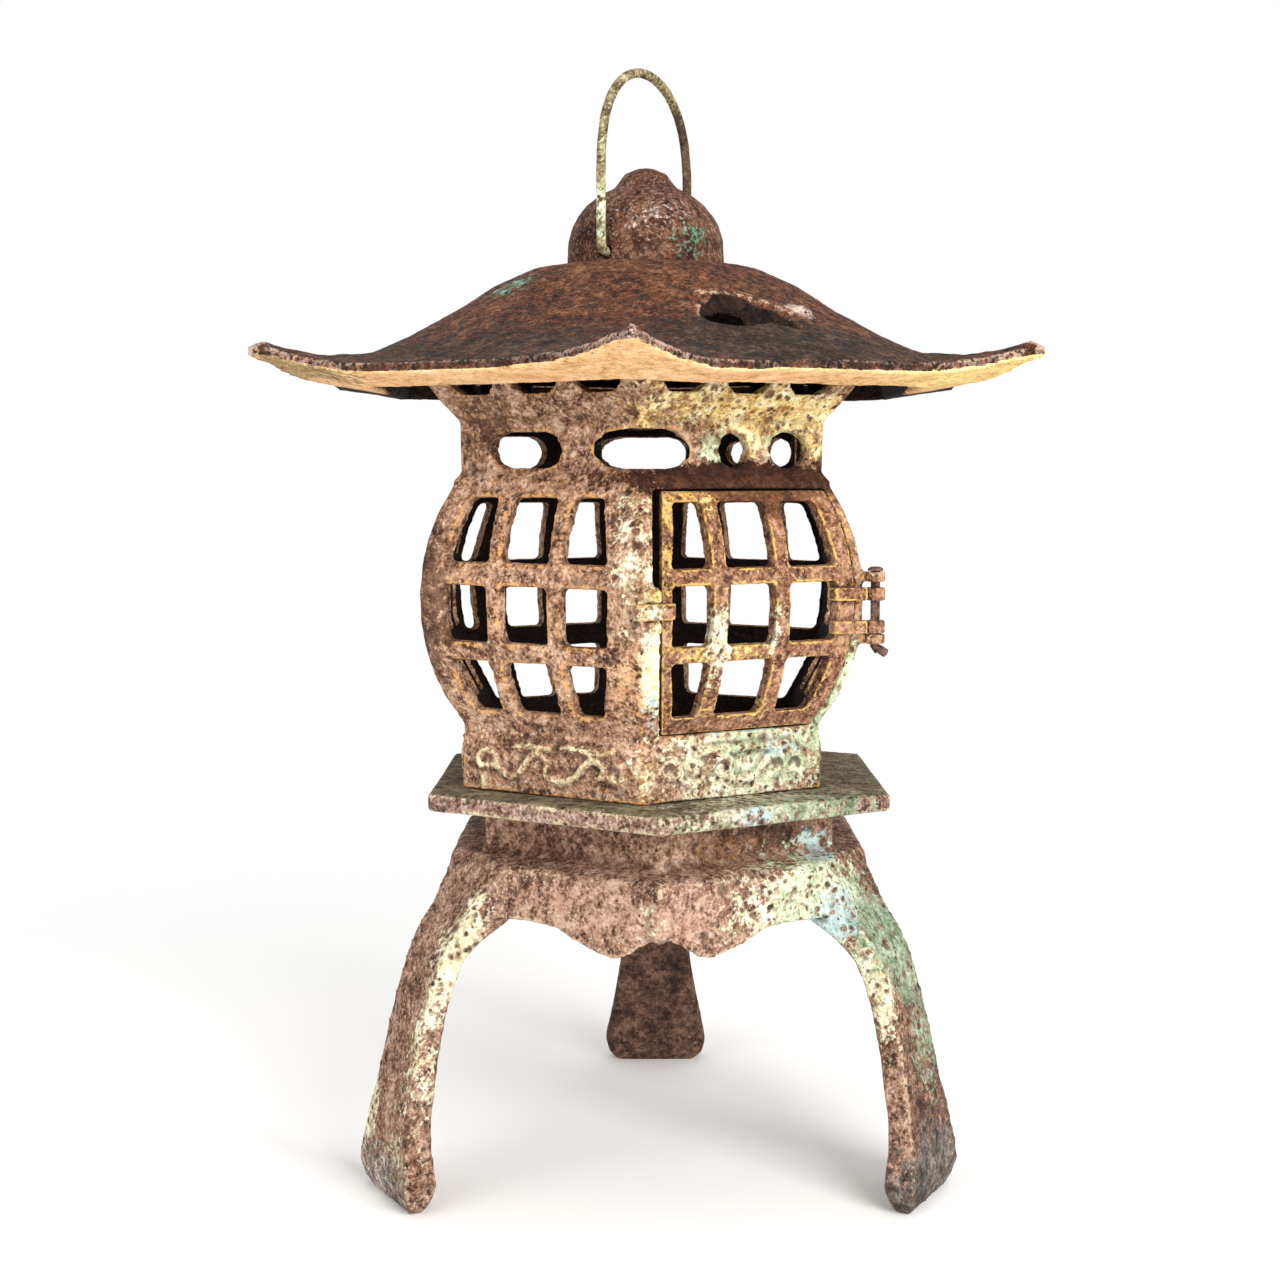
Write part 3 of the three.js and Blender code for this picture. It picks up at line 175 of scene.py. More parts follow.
def mark_edges(obj, square):
    """Stores 1 on an edge that stands out, -1 in a corner and 0 on a flat, blurred once."""
    mesh = bmesh.new()
    mesh.from_mesh(obj.data)
    mesh.normal_update()
    around = [[edge.other_vert(vert).index for edge in vert.link_edges] for vert in mesh.verts]
    places = [vert.co.copy() for vert in mesh.verts]
    raised = []
    for vert, near in zip(mesh.verts, around):
        middle = sum((places[i] for i in near), Vector()) / len(near)
        raised.append((vert.co - middle).dot(vert.normal) / (SHARP * square * MM))
    mesh.free()
    blurred = [(own + sum(raised[k] for k in near)) / (1 + len(near)) for own, near in zip(raised, around)]
    edge = obj.data.attributes.new("edge", "FLOAT", "POINT")
    edge.data.foreach_set("value", blurred)


MOST_TRIANGLES = 190_000


def cast(obj, square, wave, scale):
    """Rounds a solid into a casting: the square's size, then the height of waves and rust, in mm."""
    finished(obj, "REMESH", mode="VOXEL", voxel_size=square * MM, use_smooth_shade=True)
    finished(obj, "SMOOTH", factor=0.5, iterations=1)
    mark_edges(obj, square)
    disturbed(obj, WAVES, wave)
    disturbed(obj, SCALE_PITS, scale)
    if triangles(obj) > MOST_TRIANGLES:
        finished(obj, "DECIMATE", ratio=MOST_TRIANGLES / triangles(obj))
    shade_smooth(obj)
    print(f"{obj.name}: {triangles(obj)} triangles")
    return obj


# %% [markdown]
# ## Raised lines and knobs
# The lower frieze carries a traditional cloud scroll in low relief. On the pattern it was carved
# as rounded ridges. Here each ridge is a bezier curve with a round section, sunk into the wall, so
# that the remesh melts it into the casting.

# %% Ridges
def ridge(name, points, thickness):
    """A round ridge through points in mm, as a mesh."""
    bpy.ops.curve.primitive_bezier_curve_add()
    curve = bpy.context.object
    curve.name = name
    spline = curve.data.splines[0]
    spline.bezier_points.add(len(points) - 2)
    for knot, place in zip(spline.bezier_points, points):
        knot.co = Vector(place) * MM
        knot.handle_left_type = knot.handle_right_type = "AUTO"
        knot.radius = 1.0
    curve.location = (0, 0, 0)
    curve.data.bevel_depth = thickness * MM
    curve.data.bevel_resolution = 2
    curve.data.resolution_u = 5
    curve.data.use_fill_caps = True
    only(curve)
    bpy.ops.object.convert(target="MESH")
    return bpy.context.object


def knob(name, place, size, turn=0.0):
    """A rounded lump, in mm."""
    bpy.ops.mesh.primitive_uv_sphere_add(
        segments=20, ring_count=12, radius=1, location=Vector(place) * MM,
        scale=Vector(size) * MM, rotation=(0, 0, math.radians(turn)),
    )
    lump = bpy.context.object
    lump.name = name
    return settled(lump)


SCROLL = [
    [(-24, 5.5), (-25.5, 8), (-24, 10.6), (-20.8, 10.8), (-19, 8.4), (-20.6, 6.2), (-22.6, 7.4)],
    [(-19.4, 8.2), (-16.4, 4.4), (-12.6, 3.6), (-9.6, 6.6), (-6.4, 10.4), (-2.6, 10.6), (-0.6, 8)],
    [(-13, 12.6), (-7, 13.4), (0, 13.2), (8, 13.5), (16, 12.9), (22, 13.3)],
    [(-0.6, 8), (-2.4, 5.6), (-5, 6.4), (-4.4, 8.4)],
    [(-1, 4.2), (4, 3.4), (8.6, 5), (11.6, 8.6), (15.4, 10.2), (18.6, 8.4), (18, 5.8), (15.6, 5.6)],
    [(18.4, 8.6), (21.4, 10.6), (24.6, 9.6), (25.4, 6.6), (23.2, 4.6), (21, 6)],
]
SCROLL_RADIUS = 1.0
SCROLL_TOP = 140.0
FRIEZE_FOOT = 125.0
FRIEZE_CORNER = 63.0
FRIEZE_FACE = FRIEZE_CORNER * math.cos(math.pi / 6)
SCROLL_LINE = FRIEZE_FACE + 0.1

# %% [markdown]
# ## The cage
# The cage is one casting. The two hinge eyes at its right corner are thinner than the remesh can
# keep, so they are left out of it and made again, crisply, in a step of their own.

# %% The cage casting
PIN_AZIMUTH = 60
PIN_RADIUS = 80.51
PIN = at(PIN_AZIMUTH, PIN_RADIUS, 0, 0, CAGE_ASIDE)
CORE_RADIUS = 3.35
CORE_FOOT = 160
CORE_TOP = 200


def without_eyes(obj):
    """Cuts away the thin eyes round the hinge pin."""
    bpy.ops.mesh.primitive_cylinder_add(
        vertices=24, radius=CORE_RADIUS * MM, depth=(CORE_TOP - CORE_FOOT) * MM,
        location=(PIN.x * MM, PIN.y * MM, (CORE_FOOT + CORE_TOP) / 2 * MM),
    )
    core = bpy.context.object
    finished(obj, "BOOLEAN", object=core, operation="DIFFERENCE", solver="EXACT")
    bpy.data.objects.remove(core)


cage = solid_copy("cage", "cage_casting")
without_eyes(cage)
ridges = []
for face in FACES:
    for line in SCROLL:
        course = [at(face, SCROLL_LINE, side, FRIEZE_FOOT + rise, CAGE_ASIDE) for side, rise in line]
        ridges.append(ridge("scroll", course, SCROLL_RADIUS))
joined(cage, *ridges)
cast(cage, square=0.8, wave=0.5, scale=0.45)
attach(cage, "root")
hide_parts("cage")

# %% [markdown]
# ## The door
# The door is cast in the same way. It is a light casting that has to clear its jambs by half a
# millimetre, so its skin is disturbed less.

# %% The door casting
door = solid_copy("door", "door_casting")
without_eyes(door)
cast(door, square=0.5, wave=0.15, scale=0.25)
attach(door, "door")
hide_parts("door")

# %% [markdown]
# ## Roof, finial, platform and stand
# These are heavier castings with larger waves. The stand gets a small raised nose on each free
# corner of its apron, and the roof a knob at the end of each vent's brow.

# %% The roof
BROWS = [(30, 14.7), (150, -14.7)]
BROW_RADIUS = 63.8
BROW_HEIGHT = 266.0

roof = solid_copy("roof", "roof_casting")
brow_ends = [
    knob("brow_end", at(face, BROW_RADIUS, side, BROW_HEIGHT), (3.6, 2.8, 2.0), face)
    for face, side in BROWS
]
joined(roof, *brow_ends)
cast(roof, square=0.85, wave=0.8, scale=0.55)
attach(roof, "root")
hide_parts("roof")

# %% The finial
finial = solid_copy("finial", "dome_casting")
cast(finial, square=0.6, wave=0.5, scale=0.4)
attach(finial, "root")
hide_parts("finial")

# %% The platform
platform = solid_copy("platform", "platform_casting")
cast(platform, square=0.8, wave=0.4, scale=0.4)
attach(platform, "root")
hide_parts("platform")

# %% The stand
FREE_CORNERS = (0, 120, 240)
NOSE_RADIUS = 74.2
NOSE_HEIGHT = 91.5

stand = solid_copy("stand", "stand_casting")
noses = [
    knob("apron_nose", at(corner, NOSE_RADIUS, 0, NOSE_HEIGHT, STAND_ASIDE), (3.4, 2.2, 6.5), corner)
    for corner in FREE_CORNERS
]
joined(stand, *noses)
cast(stand, square=0.95, wave=0.9, scale=0.5)
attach(stand, "root")
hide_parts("stand")

# %% [markdown]
# ## Colours and nodes
# Colours are written as sRGB hex values, as a paint chart gives them, and turned to the linear
# values that Blender works in. One function adds any node with its settings and links.

# %% Colour and node helpers
def hex_colour(code):
    parts = [int(code[i:i + 2], 16) / 255 for i in (1, 3, 5)]
    return tuple(c / 12.92 if c <= 0.04045 else ((c + 0.055) / 1.055) ** 2.4 for c in parts) + (1.0,)


def add(tree, kind, inputs=None, **settings):
    """Adds a node. An input is a number, a colour, or the node or socket that feeds it."""
    node = tree.nodes.new("ShaderNode" + kind)
    for name, value in settings.items():
        setattr(node, name, value)
    for key, value in (inputs or {}).items():
        if isinstance(value, bpy.types.Node):
            value = next(output for output in value.outputs if output.enabled)
        if isinstance(value, bpy.types.NodeSocket):
            tree.links.new(value, node.inputs[key])
        else:
            node.inputs[key].default_value = value
    return node


def laid_over(tree, below, above, share):
    """One colour over another. A Mix node takes its factor as input 0 and its colours as 6 and 7."""
    return add(tree, "Mix", {0: share, 6: below, 7: above}, data_type="RGBA")


def between(tree, value, low, high, top=1.0):
    """0 where a value is at low, and top where it is at high."""
    return add(tree, "MapRange", {"Value": value, "From Min": low, "From Max": high, "To Max": top})


def both(tree, first, second):
    """1 where two masks are 1."""
    return add(tree, "Math", {0: first, 1: second}, operation="MULTIPLY")


def either(tree, first, second):
    """1 where at least one of two masks is 1."""
    return add(tree, "Math", {0: first, 1: second}, operation="MAXIMUM")


def without(tree, mask):
    """1 where a mask is 0."""
    return add(tree, "Math", {0: 1.0, 1: mask}, operation="SUBTRACT")


# %% [markdown]
# ## Layers of rust and paint
# Rusted iron that was once painted is never one colour. Going up from the metal there is dark
# brown scale, brighter rust on it, what is left of the paint, and pits that go through everything.
# Each layer here is a colour with a mask. The mask comes from zones, which are soft balls placed on
# the object where the paint has lasted, broken up by noise at the size of the real flakes.

# %% Layer helpers
def rust_noise(tree, place, *layers):
    """Noise of several sizes added up; each layer is a size in mm and its share."""
    total = 0.0
    for size, share in layers:
        noise = add(tree, "TexNoise", {"Vector": place, "Scale": 1 / size, "Detail": 3.0, "Roughness": 0.62})
        total = add(tree, "Math", {0: noise, 1: share, 2: total}, operation="MULTIPLY_ADD")
    return total


def shades(tree, level, codes, low=0.41, high=0.59):
    """Colours from dark to light as a level rises from low to high."""
    ramp = add(tree, "ValToRGB", {"Fac": level})
    stops = ramp.color_ramp.elements
    while len(stops) < len(codes):
        stops.new(0.5)
    for i, code in enumerate(codes):
        stops[i].position = low + (high - low) * i / (len(codes) - 1)
        stops[i].color = hex_colour(code)
    return ramp


def pits(tree, place, spacing, radius):
    """Roundish pits, up to radius mm and about spacing mm apart: 1 in the middle of each."""
    wobble = add(tree, "TexNoise", {"Vector": place, "Scale": 1 / radius, "Detail": 2.0})
    push = 0.9 * radius
    moved = add(tree, "VectorMath", {
        0: wobble.outputs["Color"], 1: (push, push, push), 2: place,
    }, operation="MULTIPLY_ADD")
    cells = add(tree, "TexVoronoi", {"Vector": moved, "Scale": 1 / spacing})
    chance = add(tree, "SeparateColor", {0: cells.outputs["Color"]}).outputs["Red"]
    size = add(tree, "MapRange", {"Value": chance, "To Min": 0.05})
    away = add(tree, "Math", {0: cells.outputs["Distance"], 1: size}, operation="DIVIDE")
    reach = radius / spacing
    return between(tree, away, reach, 0.4 * reach)


BALL_GAIN = 1.7


def zone_weight(tree, place, zones):
    """Adds up soft balls, each given by its middle, its radii in mm and its strength.

    The gain gives the inner two fifths of a ball its full strength.
    """
    total = 0.0
    for middle, radii, strength in zones:
        local = add(tree, "Mapping", {
            "Vector": place, "Location": tuple(middle), "Scale": tuple(radii),
        }, vector_type="TEXTURE")
        ball = add(tree, "TexGradient", {"Vector": local}, gradient_type="SPHERICAL").outputs["Fac"]
        ball = add(tree, "Math", {0: ball, 1: BALL_GAIN}, operation="MULTIPLY", use_clamp=True)
        total = add(tree, "Math", {0: ball, 1: strength, 2: total}, operation="MULTIPLY_ADD")
    return total


FLAKE_REACH = 4.2


def flaked(tree, weight, breakup, reach=FLAKE_REACH, edge=0.14):
    """Turns a weight into flakes: bare at 0, half covered at a half and nearly all at 1."""
    broken = add(tree, "Math", {0: breakup, 1: reach, 2: -0.5 * reach}, operation="MULTIPLY_ADD")
    level = add(tree, "Math", {0: weight, 1: broken}, operation="ADD")
    flakes = between(tree, level, 0.5 - edge, 0.5 + edge)
    near = between(tree, weight, 0.02, 0.16)
    return both(tree, flakes, near)


def facing(tree, direction, low, high):
    """0 to 1 as the cosine between the surface's normal and a direction goes from low to high."""
    normal = add(tree, "TexCoord").outputs["Normal"]
    dot = add(tree, "VectorMath", {0: normal, 1: direction}, operation="DOT_PRODUCT")
    return between(tree, dot, low, high)


def across(tree, place):
    """The arrow from the axis to a place, without its height."""
    return add(tree, "VectorMath", {0: place, 1: (1, 1, 0)}, operation="MULTIPLY")


def from_axis(tree, place):
    """The distance from the axis, in mm."""
    return add(tree, "VectorMath", {0: across(tree, place)}, operation="LENGTH")


def inwards(tree, place):
    """1 on walls that look towards the axis."""
    outwards = add(tree, "VectorMath", {0: across(tree, place)}, operation="NORMALIZE")
    return facing(tree, outwards, -0.5, -0.75)


# %% [markdown]
# ## Weathered cast iron
# Rust is an oxide, so it is rough and not metallic, and its pores leave it little gloss. Grit of
# about a millimetre breaks up the light, larger scale gives it relief, and round pits, up to 5 mm
# across, break through the paint. All castings share this recipe and differ in their tones and in
# where the paint has lasted.

# %% The iron recipe
def weathered_iron(name, tones, coats=(), specks=("#dcc4b4", 0.6), pit_colour="#38221a", worn=None,
                   relief=1.0):
    material = bpy.data.materials.new(name)
    material.use_nodes = True
    tree = material.node_tree
    shader = tree.nodes["Principled BSDF"]
    metres = add(tree, "TexCoord").outputs["Object"]
    place = add(tree, "VectorMath", {0: metres, "Scale": 1 / MM}, operation="SCALE")

    # Bare rust, with pale specks
    colour = shades(tree, rust_noise(tree, place, (16, 0.22), (3.6, 0.4), (1.1, 0.38)), tones)
    grain = rust_noise(tree, place, (1.0, 1.0))
    speck_colour, speck_amount = specks
    speck = between(tree, grain, 0.56, 0.68, speck_amount)
    colour = laid_over(tree, colour, hex_colour(speck_colour), speck)

    # Worn edges, broken up so that they don't look drawn
    edge = add(tree, "Attribute", attribute_name="edge").outputs["Fac"]
    breakup = rust_noise(tree, place, (5.5, 0.3), (2.1, 0.4), (1.0, 0.3))
    if worn:
        worn_colour, worn_amount = worn
        standing = between(tree, edge, 0.08, 0.5, worn_amount)
        rubbed = flaked(tree, standing, breakup, 4.6, 0.2)
        colour = laid_over(tree, colour, hex_colour(worn_colour), rubbed)

    # What is left of the paint
    small_pits = pits(tree, place, spacing=2.5, radius=1.4)
    large_pits = pits(tree, place, spacing=6.2, radius=2.6)
    holes = either(tree, small_pits, large_pits)
    intact = without(tree, holes)
    thickness = no_dark_marks = 0.0
    for coat in coats:
        weight = coat["mask"](tree, place) if "mask" in coat else zone_weight(tree, place, coat["zones"])
        mask = flaked(tree, weight, breakup, coat.get("reach", FLAKE_REACH))
        if coat.get("thick", True):
            mask = both(tree, mask, intact)
            thickness = either(tree, mask, thickness)
        # Coats flagged here get no dark pits, dirt patches or darker corners over them: the cage's cream
        # strip and the soffit's painted light.
        if coat.get("no_dark_marks"):
            no_dark_marks = either(tree, mask, no_dark_marks)
        paint = shades(tree, rust_noise(tree, place, (8, 0.35), (2.6, 0.35), (0.9, 0.3)), coat["colours"])
        colour = laid_over(tree, colour, paint, mask)

    # Dark pits where the iron has suffered most, patches of dirt, and darker corners
    patches = rust_noise(tree, place, (13, 1.0))
    suffered = add(tree, "MapRange", {
        "Value": patches, "From Min": 0.4, "From Max": 0.6, "To Min": 0.25, "To Max": 0.85,
    })
    soiled = between(tree, breakup, 0.42, 0.34, 0.6)
    corner = between(tree, edge, -0.06, -0.4, 0.75)
    dark = either(tree, both(tree, holes, suffered), either(tree, soiled, corner))
    dark = both(tree, dark, without(tree, no_dark_marks))
    colour = laid_over(tree, colour, hex_colour(pit_colour), dark)
    tree.links.new(colour.outputs[2], shader.inputs["Base Color"])

    rough = add(tree, "MapRange", {
        "Value": grain, "From Min": 0.35, "From Max": 0.65, "To Min": 0.95, "To Max": 0.7,
    })
    tree.links.new(rough.outputs[0], shader.inputs["Roughness"])
    shader.inputs["Metallic"].default_value = 0.0
    shader.inputs["IOR"].default_value = 1.5
    shader.inputs["Specular IOR Level"].default_value = 0.2

    height = rust_noise(tree, place, (1.0, 0.5), (2.4, 0.8), (6.0, 0.5))
    height = add(tree, "Math", {0: holes, 1: -0.4, 2: height}, operation="MULTIPLY_ADD")
    height = add(tree, "Math", {0: thickness, 1: 0.12, 2: height}, operation="MULTIPLY_ADD")
    bump = add(tree, "Bump", {"Height": height, "Strength": 1.0, "Distance": 1.5 * relief * MM})
    tree.links.new(bump.outputs["Normal"], shader.inputs["Normal"])
    return material


def finish(obj, material):
    obj.data.materials.clear()
    obj.data.materials.append(material)


# %% [markdown]
# ## The stand's and the platform's finish
# The stand is pinkish-brown rust. Cream paint has lasted along the legs and on the right front face,
# where it turns pale green and pale blue, and a washed green runs down the right leg. Both front
# feet are grey. The platform is dull grey-brown on top, with pale paint along its right front edge.

# %% Stand
CREAM = ["#a38f6b", "#ccc09b", "#e3dcbc", "#f0ebd4"]
GREEN = ["#87936f", "#b3bf98", "#cdd5b4", "#dfe2c8"]
BLUE = ["#8fa3a0", "#adc2c0", "#c3d3cd"]
WASHED_GREEN = ["#525f47", "#77866c", "#97a489", "#b6bfa6"]


def stand_zone(azimuth, radius, side, height, radii, strength=1.0):
    return (at(azimuth, radius, side, height, STAND_ASIDE), radii, strength)


stand_iron = weathered_iron(
    "rusted_cast_iron_stand",
    ["#3b261c", "#684736", "#87634f", "#a17f69", "#bb9b86"],
    coats=[
        # Painted shade on the back leg, and darker brown on the right shoulder, the neck and the lower right
        # leg.
        {"colours": ["#2b1d15", "#49342a", "#64493b", "#7f6252"], "zones": [
            stand_zone(180, 84, 0, 50, (44, 40, 110), 1.0),
            stand_zone(60, 78, 14, 96, (20, 20, 14), 0.6),
            stand_zone(30, 56, 4, 110, (36, 36, 7), 0.8),
            stand_zone(-30, 56, 0, 110, (36, 36, 7), 0.4),
            stand_zone(60, 96, 4, 26, (24, 24, 40), 0.6),
        ], "thick": False},
        {"colours": ["#6a4429", "#8f6443", "#ad8260"], "zones": [
            stand_zone(30, 58, -10, 108, (20, 20, 8), 0.5),
        ], "thick": False},
        {"colours": ["#97705c", "#b4917c", "#ccac98"], "zones": [
            stand_zone(-30, 66, 16, 92, (30, 30, 14), 0.55),
            stand_zone(30, 66, -24, 90, (24, 24, 12), 0.55),
        ], "thick": False},
        {"colours": CREAM, "zones": [
            stand_zone(30, 66, 6, 92, (34, 34, 20), 0.6),
            stand_zone(30, 60, 24, 106, (18, 18, 8), 0.5),
            stand_zone(-60, 78, 17, 80, (15, 15, 34), 1.0),
            stand_zone(-60, 90, 12, 46, (11, 11, 32), 0.5),
            stand_zone(60, 82, -15, 74, (13, 13, 36), 0.8),
            stand_zone(0, 75, -7, 92, (16, 10, 8), 0.25),
            stand_zone(-60, 97, -14, 26, (9, 9, 18), 0.85),
            stand_zone(-60, 98, 6, 12, (16, 16, 14), 0.55),
        ]},
        {"colours": GREEN, "zones": [
            stand_zone(30, 66, 20, 92, (32, 32, 24), 0.7),
            stand_zone(60, 94, 12, 56, (10, 10, 28), 0.45),
        ]},
        {"colours": BLUE, "zones": [
            stand_zone(30, 58, 24, 107, (13, 13, 8), 0.6),
            stand_zone(30, 66, 24, 89, (13, 13, 11), 0.65),
            stand_zone(30, 64, 16, 83, (18, 14, 5), 0.7),
        ]},
        {"colours": WASHED_GREEN, "zones": [
            stand_zone(60, 82, 0, 84, (20, 20, 26), 0.85),
            stand_zone(60, 91, 5, 56, (14, 14, 38), 0.62),
        ]},
        {"colours": ["#3f352e", "#6b5f55", "#978b7f", "#d6cfc6"], "zones": [
            stand_zone(-60, 94, 0, 4, (26, 26, 20), 0.7),
        ], "thick": False},
        {"colours": ["#2e2925", "#4c4540", "#69615a", "#8d857d"], "zones": [
            stand_zone(60, 94, 0, 6, (28, 28, 24), 1.0),
        ], "thick": False},
    ],
    worn=("#c9b094", 0.55),
)
finish(stand, stand_iron)

# %% Platform
platform_iron = weathered_iron(
    "rusted_cast_iron_platform",
    ["#422d25", "#674a3e", "#86685a", "#a08475", "#baa395"],
    coats=[
        {"colours": ["#453b2e", "#625844", "#7c725a", "#968c70"],
         "mask": lambda tree, place: facing(tree, (0, 0, 1), 0.4, 0.9), "reach": 1.2, "thick": False},
        {"colours": ["#78735a", "#a4a184", "#c1bfa2", "#d9d7c0"], "zones": [
            stand_zone(30, 72, 0, 120, (52, 52, 9), 0.68),
        ]},
        {"colours": WASHED_GREEN, "zones": [
            stand_zone(30, 72, 14, 121, (30, 30, 10), 0.5),
        ]},
        {"colours": BLUE, "zones": [
            stand_zone(30, 70, -8, 120, (9, 9, 6), 0.6),
        ]},
    ],
    worn=("#cdbf9c", 0.6),
)
finish(platform, platform_iron)

# %% [markdown]
# ## The cage's finish
# The left faces have lost their paint, except on the scroll, whose ridges keep cream paint and a
# painted highlight. On the right the friezes and the corner by the hinge keep theirs, yellow-cream
# above and pale green below. Inside, soot and painted shade make the walls nearly black. The door
# is oranger, with ochre edges.

# %% Cage
# Nearly black: soot together with painted shade inside the cage and the door.
SOOT_AND_SHADE = ["#0d0605", "#160a08", "#1f0f0b"]


def cage_zone(azimuth, radius, side, height, radii, strength=1.0):
    return (at(azimuth, radius, side, height, CAGE_ASIDE), radii, strength)


def raised_scroll(tree, place):
    """Highest on the ridges of the scroll, which stand out from the lower frieze."""
    height = add(tree, "SeparateXYZ", {0: place}).outputs["Z"]
    band = between(tree, height, SCROLL_TOP + 1.0, SCROLL_TOP - 1.0)
    out = 0.0
    for azimuth in FACES:
        turn = math.radians(azimuth)
        outwards = (math.sin(turn), -math.cos(turn), 0)
        distance = add(tree, "VectorMath", {0: place, 1: outwards}, operation="DOT_PRODUCT")
        distance = add(tree, "Math", {0: distance, 1: CAGE_ASIDE * math.sin(turn)}, operation="SUBTRACT")
        out = either(tree, distance, out)
    proud = between(tree, out, FRIEZE_FACE + 0.2, FRIEZE_FACE + 0.8, 0.64)
    return both(tree, proud, band)


cage_iron = weathered_iron(
    "rusted_cast_iron_cage",
    ["#45291c", "#755039", "#977155", "#b28c70", "#ccac90"],
    coats=[
        {"colours": ["#3f2a20", "#634637", "#84634f"], "zones": [
            cage_zone(-60, 72, 0, 182, (12, 12, 44), 0.7),
            cage_zone(-30, 60, -22, 232, (22, 22, 18), 0.5),
        ], "thick": False},
        # Cream paint on the scroll's ridges, which also carries a painted highlight where they stand out.
        {"colours": ["#b29a74", "#cfbf97", "#e6dbb6"], "mask": raised_scroll},
        {"colours": ["#93683a", "#d0ad6c", "#e9d398", "#f6ecc6"], "zones": [
            cage_zone(30, 64, 0, 243, (50, 50, 13), 0.78),
            cage_zone(30, 58, 18, 231, (36, 36, 12), 0.72),
            cage_zone(0, 68, 2, 230, (13, 14, 12), 0.6),
            cage_zone(0, 66, 4, 134, (10, 14, 14), 0.5),
            cage_zone(0, 78, 3, 184, (6, 9, 6), 0.7),
        ]},
        {"colours": ["#c9be8b", "#e3dcb0", "#f3efce", "#faf7e2"], "zones": [
            cage_zone(0, 76, 6, 158, (9, 14, 30), 1.3),
        ], "thick": False, "no_dark_marks": True},
        {"colours": ["#a8795a", "#c99f78", "#e0bf97"], "zones": [
            cage_zone(0, 74, -6, 152, (12, 14, 26), 0.7),
        ], "thick": False},
        {"colours": CREAM, "zones": [
            cage_zone(30, 56, 4, 134, (46, 46, 20), 0.75),
            cage_zone(0, 70, -2, 196, (12, 14, 32), 0.42),
        ]},
        {"colours": GREEN, "zones": [
            cage_zone(30, 56, 12, 136, (34, 34, 16), 0.6),
            cage_zone(60, 68, 0, 158, (11, 11, 34), 0.85),
            cage_zone(30, 56, -6, 226, (10, 10, 10), 0.7),
            cage_zone(30, 56, 14, 226, (10, 10, 12), 0.55),
        ]},
        {"colours": BLUE, "zones": [
            cage_zone(30, 56, 16, 138, (10, 10, 5), 0.6),
            cage_zone(30, 56, 0, 146, (34, 34, 5), 0.5),
            cage_zone(0, 70, 5, 150, (6, 9, 9), 0.6),
        ]},
        {"colours": ["#22110a", "#3a2014", "#553524"], "zones": [
            cage_zone(30, 58, 2, 217.5, (56, 56, 7), 1.3),
        ], "thick": False},
        # Soot and painted shade: walls that look towards the axis are coloured nearly black.
        {"colours": SOOT_AND_SHADE, "mask": inwards, "reach": 0.5, "thick": False},
    ],
    worn=("#cf9c62", 0.6),
    specks=("#e3cbbb", 0.65),
)
finish(cage, cage_iron)

# %% Door
door_iron = weathered_iron(
    "rusted_cast_iron_door",
    ["#40271b", "#6c4531", "#895f45", "#9f775a", "#b89174"],
    coats=[
        {"colours": ["#46291b", "#6a442d", "#8a6041"], "zones": [
            cage_zone(30, 62, 6, 212, (32, 32, 9), 0.9),
        ], "thick": False},
        {"colours": ["#b3863f", "#d2ab60", "#e2c684"], "zones": [
            cage_zone(30, 64, -27, 198, (8, 8, 30), 0.5),
            cage_zone(30, 66, -12, 169, (28, 28, 7), 0.6),
            cage_zone(30, 62, -18, 212, (16, 16, 8), 0.5),
            cage_zone(30, 62, -4, 151, (34, 34, 7), 0.3),
        ]},
        {"colours": CREAM, "zones": [
            cage_zone(30, 68, -12, 172, (9, 9, 14), 0.85),
            cage_zone(30, 68, 5, 174, (7, 7, 11), 0.75),
            cage_zone(30, 66, -10, 159, (8, 8, 9), 0.5),
            cage_zone(0, 79, 2, 180, (8, 9, 6), 0.6),
        ]},
        # Soot and painted shade: walls that look towards the axis are coloured nearly black.
        {"colours": SOOT_AND_SHADE, "mask": inwards, "reach": 0.5, "thick": False},
    ],
    worn=("#d3ab62", 0.75),
    specks=("#e0c3a4", 0.55),
)
finish(door, door_iron)

# %% [markdown]
# ## Roof and dome
# The roof's top is dark reddish brown, and a darker, lumpy grey-brown near the eaves. The rim is
# worn to a pinkish grey. Under the eaves the soffit is coloured a bright tan, painted light for the
# light that the pale floor throws up, and the hollow of the roof behind it is near black, painted shade.

# %% Roof
HOLLOW_RADIUS = 80.0
SOFFIT_RADIUS = 82.0
SIDE_BAND = 25.0
TIP_RADIUS = 126
TIP_HEIGHT = 252


def under_eaves(tree, place):
    """1 on the front half of the soffit: it looks down and lies outside the hollow."""
    outside = between(tree, from_axis(tree, place), HOLLOW_RADIUS, SOFFIT_RADIUS)
    depth = add(tree, "SeparateXYZ", {0: place}).outputs["Y"]
    front = between(tree, depth, SIDE_BAND, -SIDE_BAND)
    down = facing(tree, (0, 0, -1), 0.15, 0.4)
    return both(tree, outside, both(tree, down, front))


def under_roof(tree, place):
    """1 on what looks down or sideways inside the roof, and under its back."""
    inside = between(tree, from_axis(tree, place), SOFFIT_RADIUS, HOLLOW_RADIUS)
    depth = add(tree, "SeparateXYZ", {0: place}).outputs["Y"]
    back = between(tree, depth, -SIDE_BAND, SIDE_BAND)
    down = facing(tree, (0, 0, -1), -0.3, 0.0)
    return both(tree, either(tree, inside, back), down)


def soffit_patch(tree, place, azimuth, size):
    """Highest on the soffit around a tip of the roof."""
    tip = at(azimuth, TIP_RADIUS, 0, TIP_HEIGHT)
    ball = zone_weight(tree, place, [(tip, (size, size, 40), 0.9)])
    return both(tree, under_eaves(tree, place), ball)


